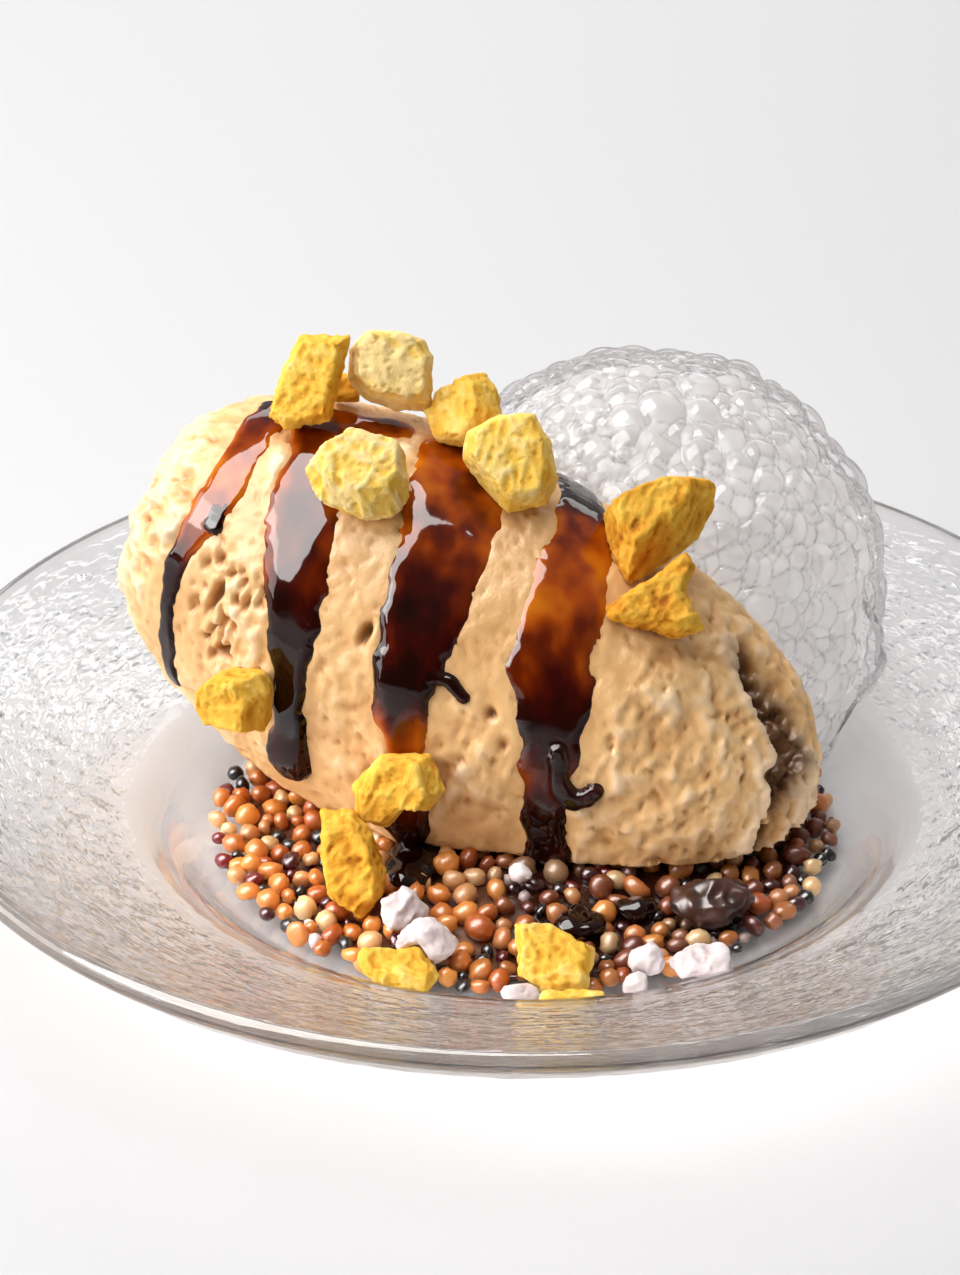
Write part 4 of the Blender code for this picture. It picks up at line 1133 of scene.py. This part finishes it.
def drop_grains(look):
    """Let grains fall one by one into the lowest place found, clear of the rest."""
    rng = np.random.default_rng(look.seed)
    trees = [solid_tree(name) for name in ("mousse", "foam", "sauce_lump", *FRUIT, *CRUMBS)]
    kinds = rng.choice(5, size=look.count, p=GRAIN_SHARES)
    sizes = GRAIN_SIZES[kinds] * look.radius
    sizes = sizes * (1.0 + 0.16 * rng.standard_normal(look.count).clip(-1.6, 1.6))
    placed = np.empty((0, 4))
    chosen = []
    reach = BED_RADIUS + 1.6 * MM
    for kind, radius in zip(kinds, sizes):
        distance = reach * np.sqrt(rng.random(SPOTS_TRIED))
        turn = math.tau * rng.random(SPOTS_TRIED)
        spots = np.stack((distance * np.cos(turn), distance * np.sin(turn)), -1)
        landing = core_height(spots[:, 0], spots[:, 1]) + radius * 0.9
        if len(placed):
            gap = np.hypot(spots[:, None, 0] - placed[None, :, 0],
                           spots[:, None, 1] - placed[None, :, 1])
            touch = (radius + placed[:, 3]) * 0.93
            rest = placed[:, 2] + np.sqrt(np.maximum(touch ** 2 - gap ** 2, 0.0))
            landing = np.maximum(landing, np.where(gap < touch, rest, 0.0).max(1))
        ceiling = bed_height(distance) + 2.0 * MM
        ceiling = ceiling + 0.8 * MM * ease(distance, 34.0 * MM, 6.0 * MM)
        room = ceiling - landing - radius
        for best in np.argsort(-room)[:4]:
            centre = Vector((*spots[best], landing[best]))
            if room[best] > 0.0 and is_clear(centre, radius * 0.97, trees):
                placed = np.concatenate((placed, [(*centre, radius)]))
                chosen.append(kind)
                break
    return placed, np.array(chosen), rng


def grain_shapes(kind):
    """A few unit shapes of a kind of grain: round, split, dimpled or ragged."""
    shapes = []
    detail = 2 if kind < 2 else 1 + (kind < 4)
    for variant in range(5):
        bm = bmesh.new()
        bmesh.ops.create_icosphere(bm, subdivisions=detail, radius=1.0)
        points = np.array([vert.co for vert in bm.verts])
        faces = np.array([[vert.index for vert in face.verts] for face in bm.faces])
        bm.free()
        rough = uneven(points, 1.1, 200 + 10 * kind + variant)
        swell = 1.0 + (0.2 if kind < 4 else 0.5) * rough
        if kind < 2 and variant in (0, 3):
            swell -= 0.22 * np.exp(-(points[:, 2] / 0.16) ** 2) * (points[:, 0] > -0.6)
        if kind < 2 and variant == 1:
            swell -= 0.42 * np.exp(-((1.0 - points[:, 2]) / 0.16) ** 2)
        if kind == 3:
            swell += 0.2 * np.exp(-((1.0 - points[:, 0]) / 0.1) ** 2)
        stretch = np.array((1.12, 0.98, 0.8 + 0.05 * variant))
        shapes.append((points * swell[:, None] * stretch, faces))
    return shapes


def grain_material(name, pale, deep, roughness, gloss):
    """Finish of one kind of grain, with a tone for each grain."""
    material, tree, shader = new_material(name, roughness)
    tone = attribute_node(tree, "tone")
    speck = math_node(tree, "MULTIPLY_ADD", noise_node(tree, 1.2 * MM, 3.0), 0.5, -0.25)
    factor = math_node(tree, "ADD", tone, speck)
    colour = colour_ramp(tree, factor, ((0.0, deep), (0.85, pale)))
    # Sauce and painted shade: grains to the right are darkened where sauce lies and the mousse
    # shades them.
    wet_and_shaded = mix_colours(tree, attribute_node(tree, "wet_and_shaded"), colour, (0.40, 0.19, 0.06), "MULTIPLY")
    set_inputs(tree, shader, {"Base Color": wet_and_shaded, "Coat Weight": gloss, "Coat Roughness": 0.1})
    add_bump(tree, shader, noise_node(tree, 0.5 * MM, 2.0), 0.05 * MM, 0.4)
    return material


class DESSERT_OT_grains(bpy.types.Operator):
    """Make the bed of puffed grains"""
    bl_idname = "dessert.grains"
    bl_label = "Puffed grains"

    def execute(self, context):
        look = context.scene.dessert.grains
        grain_core()
        placed, kinds, rng = drop_grains(look)
        finishes = (
            ("orange", tuple(look.orange), (0.70, 0.31, 0.05), 0.38, 0.32),
            ("cream", tuple(look.cream), (0.86, 0.50, 0.20), 0.45, 0.25),
            ("black", (0.10, 0.09, 0.10), (0.02, 0.02, 0.02), 0.3, 0.5),
            ("red", tuple(look.red), (0.24, 0.02, 0.06), 0.3, 0.5),
            ("white", (0.95, 0.90, 0.88), (0.80, 0.68, 0.68), 0.6, 0.0),
        )
        for kind, (name, pale, deep, roughness, gloss) in enumerate(finishes):
            shapes = grain_shapes(kind)
            points = []
            faces = []
            tones = []
            wet_and_shaded_values = []
            start = 0
            for number, (x, y, z, radius) in enumerate(placed[kinds == kind]):
                shape, corners = shapes[number % len(shapes)]
                turned = random_turn(rng)
                sizes = radius * (1.0 + 0.1 * rng.standard_normal(3).clip(-1.6, 1.6))
                points.append(shape * sizes @ turned + np.array((x, y, z)))
                faces.append(corners + start)
                start += len(shape)
                tones.append(np.full(len(shape), rng.random()))
                # Each grain's share of sauce and painted shade.
                wet_and_shaded = sauce_and_shade(x, y) * (0.25 + 0.75 * rng.random())
                wet_and_shaded_values.append(np.full(len(shape), wet_and_shaded))
            mesh = build_mesh(f"grains_{name}", np.concatenate(points), np.concatenate(faces),
                              {"tone": np.concatenate(tones), "wet_and_shaded": np.concatenate(wet_and_shaded_values)})
            new_piece(f"grains_{name}", mesh,
                      grain_material(f"{name}_grain", pale, deep, roughness, gloss))
        return {"FINISHED"}


def random_turn(rng):
    """A random rotation as a 3 by 3 array."""
    axis = Vector(rng.standard_normal(3)).normalized()
    return np.array(Matrix.Rotation(math.tau * rng.random(), 3, axis))


# Foam

def on_foam(directions):
    """Points of the foam's plain form: a dome on an upright foot."""
    flat = np.maximum(np.hypot(directions[..., 0], directions[..., 1]), FOAM_FOOT_MIDDLE)
    spread = np.where(directions[..., 2] < 0.0, 1.0 / flat, 1.0)
    outward = directions * np.stack((spread, spread, np.ones_like(spread)), -1)
    outward = outward * FOAM_HALF_SIZES
    return FOAM_CENTRE + outward * (1.0 + FOAM_UNEVENNESS
                                    * uneven(outward, 17.0 * MM))[..., None]


def scattered_bubbles(shrink, size, seed):
    """Centres and radii of bubbles spread over a shell, smaller on its left."""
    rng = np.random.default_rng(seed)
    directions = rng.standard_normal((BUBBLES_TRIED, 3))
    directions = directions / np.linalg.norm(directions, axis=1)[:, None]
    directions = directions[directions[:, 2] > -0.8]
    places = FOAM_CENTRE + (on_foam(directions) - FOAM_CENTRE) * shrink
    froth = 0.72 + 0.4 * ease(places[:, 0], -8.0 * MM, 34.0 * MM)
    radii = size * froth * (1.0 + 0.3 * rng.standard_normal(len(places)).clip(-1.2, 2.0))
    kept = []
    for number, (place, radius) in enumerate(zip(places, radii)):
        gaps = np.linalg.norm(places[kept] - place, axis=1)
        if not len(kept) or (gaps > 0.66 * (radii[kept] + radius)).all():
            kept.append(number)
    return places[kept], radii[kept]


def bubble_shell(name, shrink, step, size, seed, material):
    """A shell of bubbles that meet in thin creases."""
    rows = round(FOAM_REACH * FOAM_RISE_RADIUS / step)
    columns = round(math.tau * FOAM_ROUND_RADIUS / step)
    slope = np.linspace(0.0, FOAM_REACH, rows)[:, None]
    turn = full_turn(columns)
    directions = turned_points(np.sin(slope), turn, np.cos(slope) + 0.0 * turn)
    base = FOAM_CENTRE + (on_foam(directions) - FOAM_CENTRE) * shrink
    outward = base - FOAM_CENTRE
    outward = outward / np.linalg.norm(outward, axis=-1)[..., None]
    flat = base.reshape(-1, 3)
    centres, radii = scattered_bubbles(shrink, size, seed)
    bulge = np.empty(len(flat))
    crease = np.empty(len(flat))
    for start in range(0, len(flat), POINTS_AT_ONCE):
        batch = slice(start, start + POINTS_AT_ONCE)
        part = flat[batch]
        power = (2.0 * part @ centres.T - (part ** 2).sum(1)[:, None]
                 - (centres ** 2).sum(1) + radii ** 2)
        two = np.partition(power, len(radii) - 2, axis=1)[:, -2:]
        bulge[batch] = np.sqrt(np.maximum(two[:, 1], 0.0))
        crease[batch] = two[:, 1] - two[:, 0]
    bulge = bulge.reshape(base.shape[:-1])
    points = base + outward * (0.5 * bulge - 0.4 * size)[..., None]
    rest = plate_top(np.hypot(points[..., 0], points[..., 1])) + 0.4 * MM
    points[..., 2] = np.maximum(points[..., 2], rest)
    edge = np.exp(-crease / (0.8 * MM * MM))
    flat = points.reshape(-1, 3)
    faces = outward_faces(flat, grid_faces(rows, columns, True))
    mesh = build_mesh(name, flat, faces, {"crease": edge})
    merge_poles(mesh)
    return new_piece(name, mesh, material)


def outer_film_material():
    """Clear film that mirrors the light, with pale lines where bubbles meet."""
    material, tree, shader = new_material("outer_film", 0.25)
    shader.inputs["Base Color"].default_value = linear((0.66, 0.65, 0.65))
    clear = add_node(tree, "BsdfTransparent", {"Color": linear((0.985, 0.985, 0.99))})
    gloss = add_node(tree, "BsdfGlossy", {"Roughness": 0.04})
    edge_on = add_node(tree, "Fresnel", {"IOR": 1.4}).outputs["Fac"]
    film = mix_shaders(tree, math_node(tree, "MULTIPLY", edge_on, 0.8), clear, gloss)
    lines = math_node(tree, "MULTIPLY_ADD", attribute_node(tree, "crease"), 0.5, 0.02)
    let_light_through(tree, mix_shaders(tree, lines, film, shader), 0.93)
    return material


def inner_film_material():
    """Milky body of many small bubbles behind the outer film."""
    material, tree, shader = new_material("inner_film", 0.3)
    crease = attribute_node(tree, "crease")
    colour = mix_colours(tree, crease, (0.93, 0.93, 0.93), (0.62, 0.61, 0.61))
    tree.links.new(colour, shader.inputs["Base Color"])
    through = add_node(tree, "BsdfTranslucent", {"Color": colour})
    milky = mix_shaders(tree, 0.4, shader, through)
    body = math_node(tree, "MULTIPLY_ADD", crease, 0.2, 0.6)
    clear = add_node(tree, "BsdfTransparent")
    let_light_through(tree, mix_shaders(tree, body, clear, milky), 0.85)
    return material


class DESSERT_OT_foam(bpy.types.Operator):
    """Make the dome of clear bubbles"""
    bl_idname = "dessert.foam"
    bl_label = "Bubble foam"

    def execute(self, context):
        look = context.scene.dessert.foam
        outer = bubble_shell("foam_outer", 0.985, 0.33 * MM, look.bubble, look.seed,
                             outer_film_material())
        bubble_shell("foam_inner", 0.9, 0.45 * MM, look.bubble, look.seed + 1,
                     inner_film_material())
        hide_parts("foam")
        return {"FINISHED"}


# Stage

def area_light(name, place, target, size, power, colour=WARM_WHITE, unseen=()):
    """A soft rectangular light aimed at a point, left out of some kinds of ray."""
    light = bpy.data.lights.new(name, "AREA")
    light.shape = "RECTANGLE"
    light.size, light.size_y = size
    light.energy = power
    light.color = colour
    lamp = bpy.data.objects.new(name, light)
    bpy.context.scene.collection.objects.link(lamp)
    lamp.location = place
    lamp.rotation_euler = (Vector(target) - Vector(place)).to_track_quat("-Z", "Y").to_euler()
    for rays in unseen:
        setattr(lamp, f"visible_{rays}", False)


class DESSERT_OT_stage(bpy.types.Operator):
    """Make the floor, the lights and the camera"""
    bl_idname = "dessert.stage"
    bl_label = "Stage"

    def execute(self, context):
        look = context.scene.dessert.stage
        scene = context.scene
        scene.view_settings.view_transform = "Standard"
        material, tree, shader = new_material("pale_table", 0.6)
        set_inputs(tree, shader, {"Base Color": linear(look.floor), "Specular IOR Level": 0.0})
        bm = bmesh.new()
        bmesh.ops.create_grid(bm, x_segments=4, y_segments=4, size=3.0)
        mesh = bpy.data.meshes.new("table")
        bm.to_mesh(mesh)
        bm.free()
        mesh.materials.append(material)
        table = bpy.data.objects.new("table", mesh)
        scene.collection.objects.link(table)
        table.location = (0.0, 0.0, -0.1 * MM)
        world = bpy.data.worlds.new("surroundings")
        scene.world = world
        world.use_nodes = True
        tree = world.node_tree
        place = add_node(tree, "TexCoord").outputs["Generated"]
        parts = add_node(tree, "SeparateXYZ", {"Vector": place}).outputs
        behind = math_node(tree, "MULTIPLY_ADD", parts["Y"], 0.35, 0.25)
        height = math_node(tree, "MULTIPLY_ADD", parts["Z"], 0.25, behind)
        shade = colour_ramp(tree, height, ((0.0, (0.30, 0.30, 0.31)), (0.7, (1.0, 1.0, 1.0))))
        set_inputs(tree, tree.nodes["Background"], {"Color": shade, "Strength": look.sky})
        middle = (0.0, 0.0, 0.03)
        area_light("front_softbox", (-0.37, -0.24, 0.67), middle, (0.68, 1.16),
                   look.front_power, unseen=("glossy",))
        area_light("overhead_softbox", (-0.27, -0.02, 0.72), (-0.2, 0.0, 0.0), (0.6, 0.8),
                   look.key_power, unseen=("glossy",))
        area_light("softbox_glint", (-0.39, -0.19, 0.64), middle, (0.56, 1.12),
                   look.glint_power, unseen=("diffuse", "transmission"))
        area_light("left_panel", (-0.75, -0.1, 0.26), (0.0, 0.0, 0.02), (0.7, 0.4),
                   look.side_power)
        area_light("far_table_light", (0.0, 0.75, 0.55), (0.0, 0.7, 0.0), (1.0, 0.3),
                   look.back_power, (1.0, 1.0, 1.0))
        camera_data = bpy.data.cameras.new("camera")
        camera_data.lens = CAMERA_LENS
        camera_data.clip_start = 0.01
        camera = bpy.data.objects.new("camera", camera_data)
        scene.collection.objects.link(camera)
        camera.location = CAMERA_PLACE
        aim = Vector(CAMERA_TARGET) - camera.location
        camera.rotation_euler = aim.to_track_quat("-Z", "Y").to_euler()
        scene.camera = camera
        return {"FINISHED"}


class DESSERT_PT_panel(bpy.types.Panel):
    """Lists what makes the dessert"""
    bl_idname = "DESSERT_PT_panel"
    bl_label = "Plated mousse"
    bl_space_type = "VIEW_3D"
    bl_region_type = "UI"
    bl_category = "Dessert"

    def draw(self, context):
        for operator in OPERATORS:
            self.layout.operator(operator.bl_idname)


OPERATORS = (DESSERT_OT_stage, DESSERT_OT_plate, DESSERT_OT_mousse, DESSERT_OT_syrup,
             DESSERT_OT_fruit, DESSERT_OT_crumbs, DESSERT_OT_sauce, DESSERT_OT_pools,
             DESSERT_OT_grains, DESSERT_OT_foam)
CLASSES = (PlateLook, MousseLook, SyrupLook, FruitLook, GrainLook, FoamLook, StageLook,
           DessertLook, *OPERATORS, DESSERT_PT_panel)


def register():
    """Add the classes and the settings."""
    for cls in CLASSES:
        bpy.utils.register_class(cls)
    bpy.types.Scene.dessert = PointerProperty(type=DessertLook)


def unregister():
    """Take the settings and the classes away."""
    del bpy.types.Scene.dessert
    for cls in reversed(CLASSES):
        bpy.utils.unregister_class(cls)


def main():
    """Make every piece."""
    register()
    for operator in OPERATORS:
        getattr(bpy.ops.dessert, operator.bl_idname.split(".")[1])()


if __name__ == "__main__":
    main()
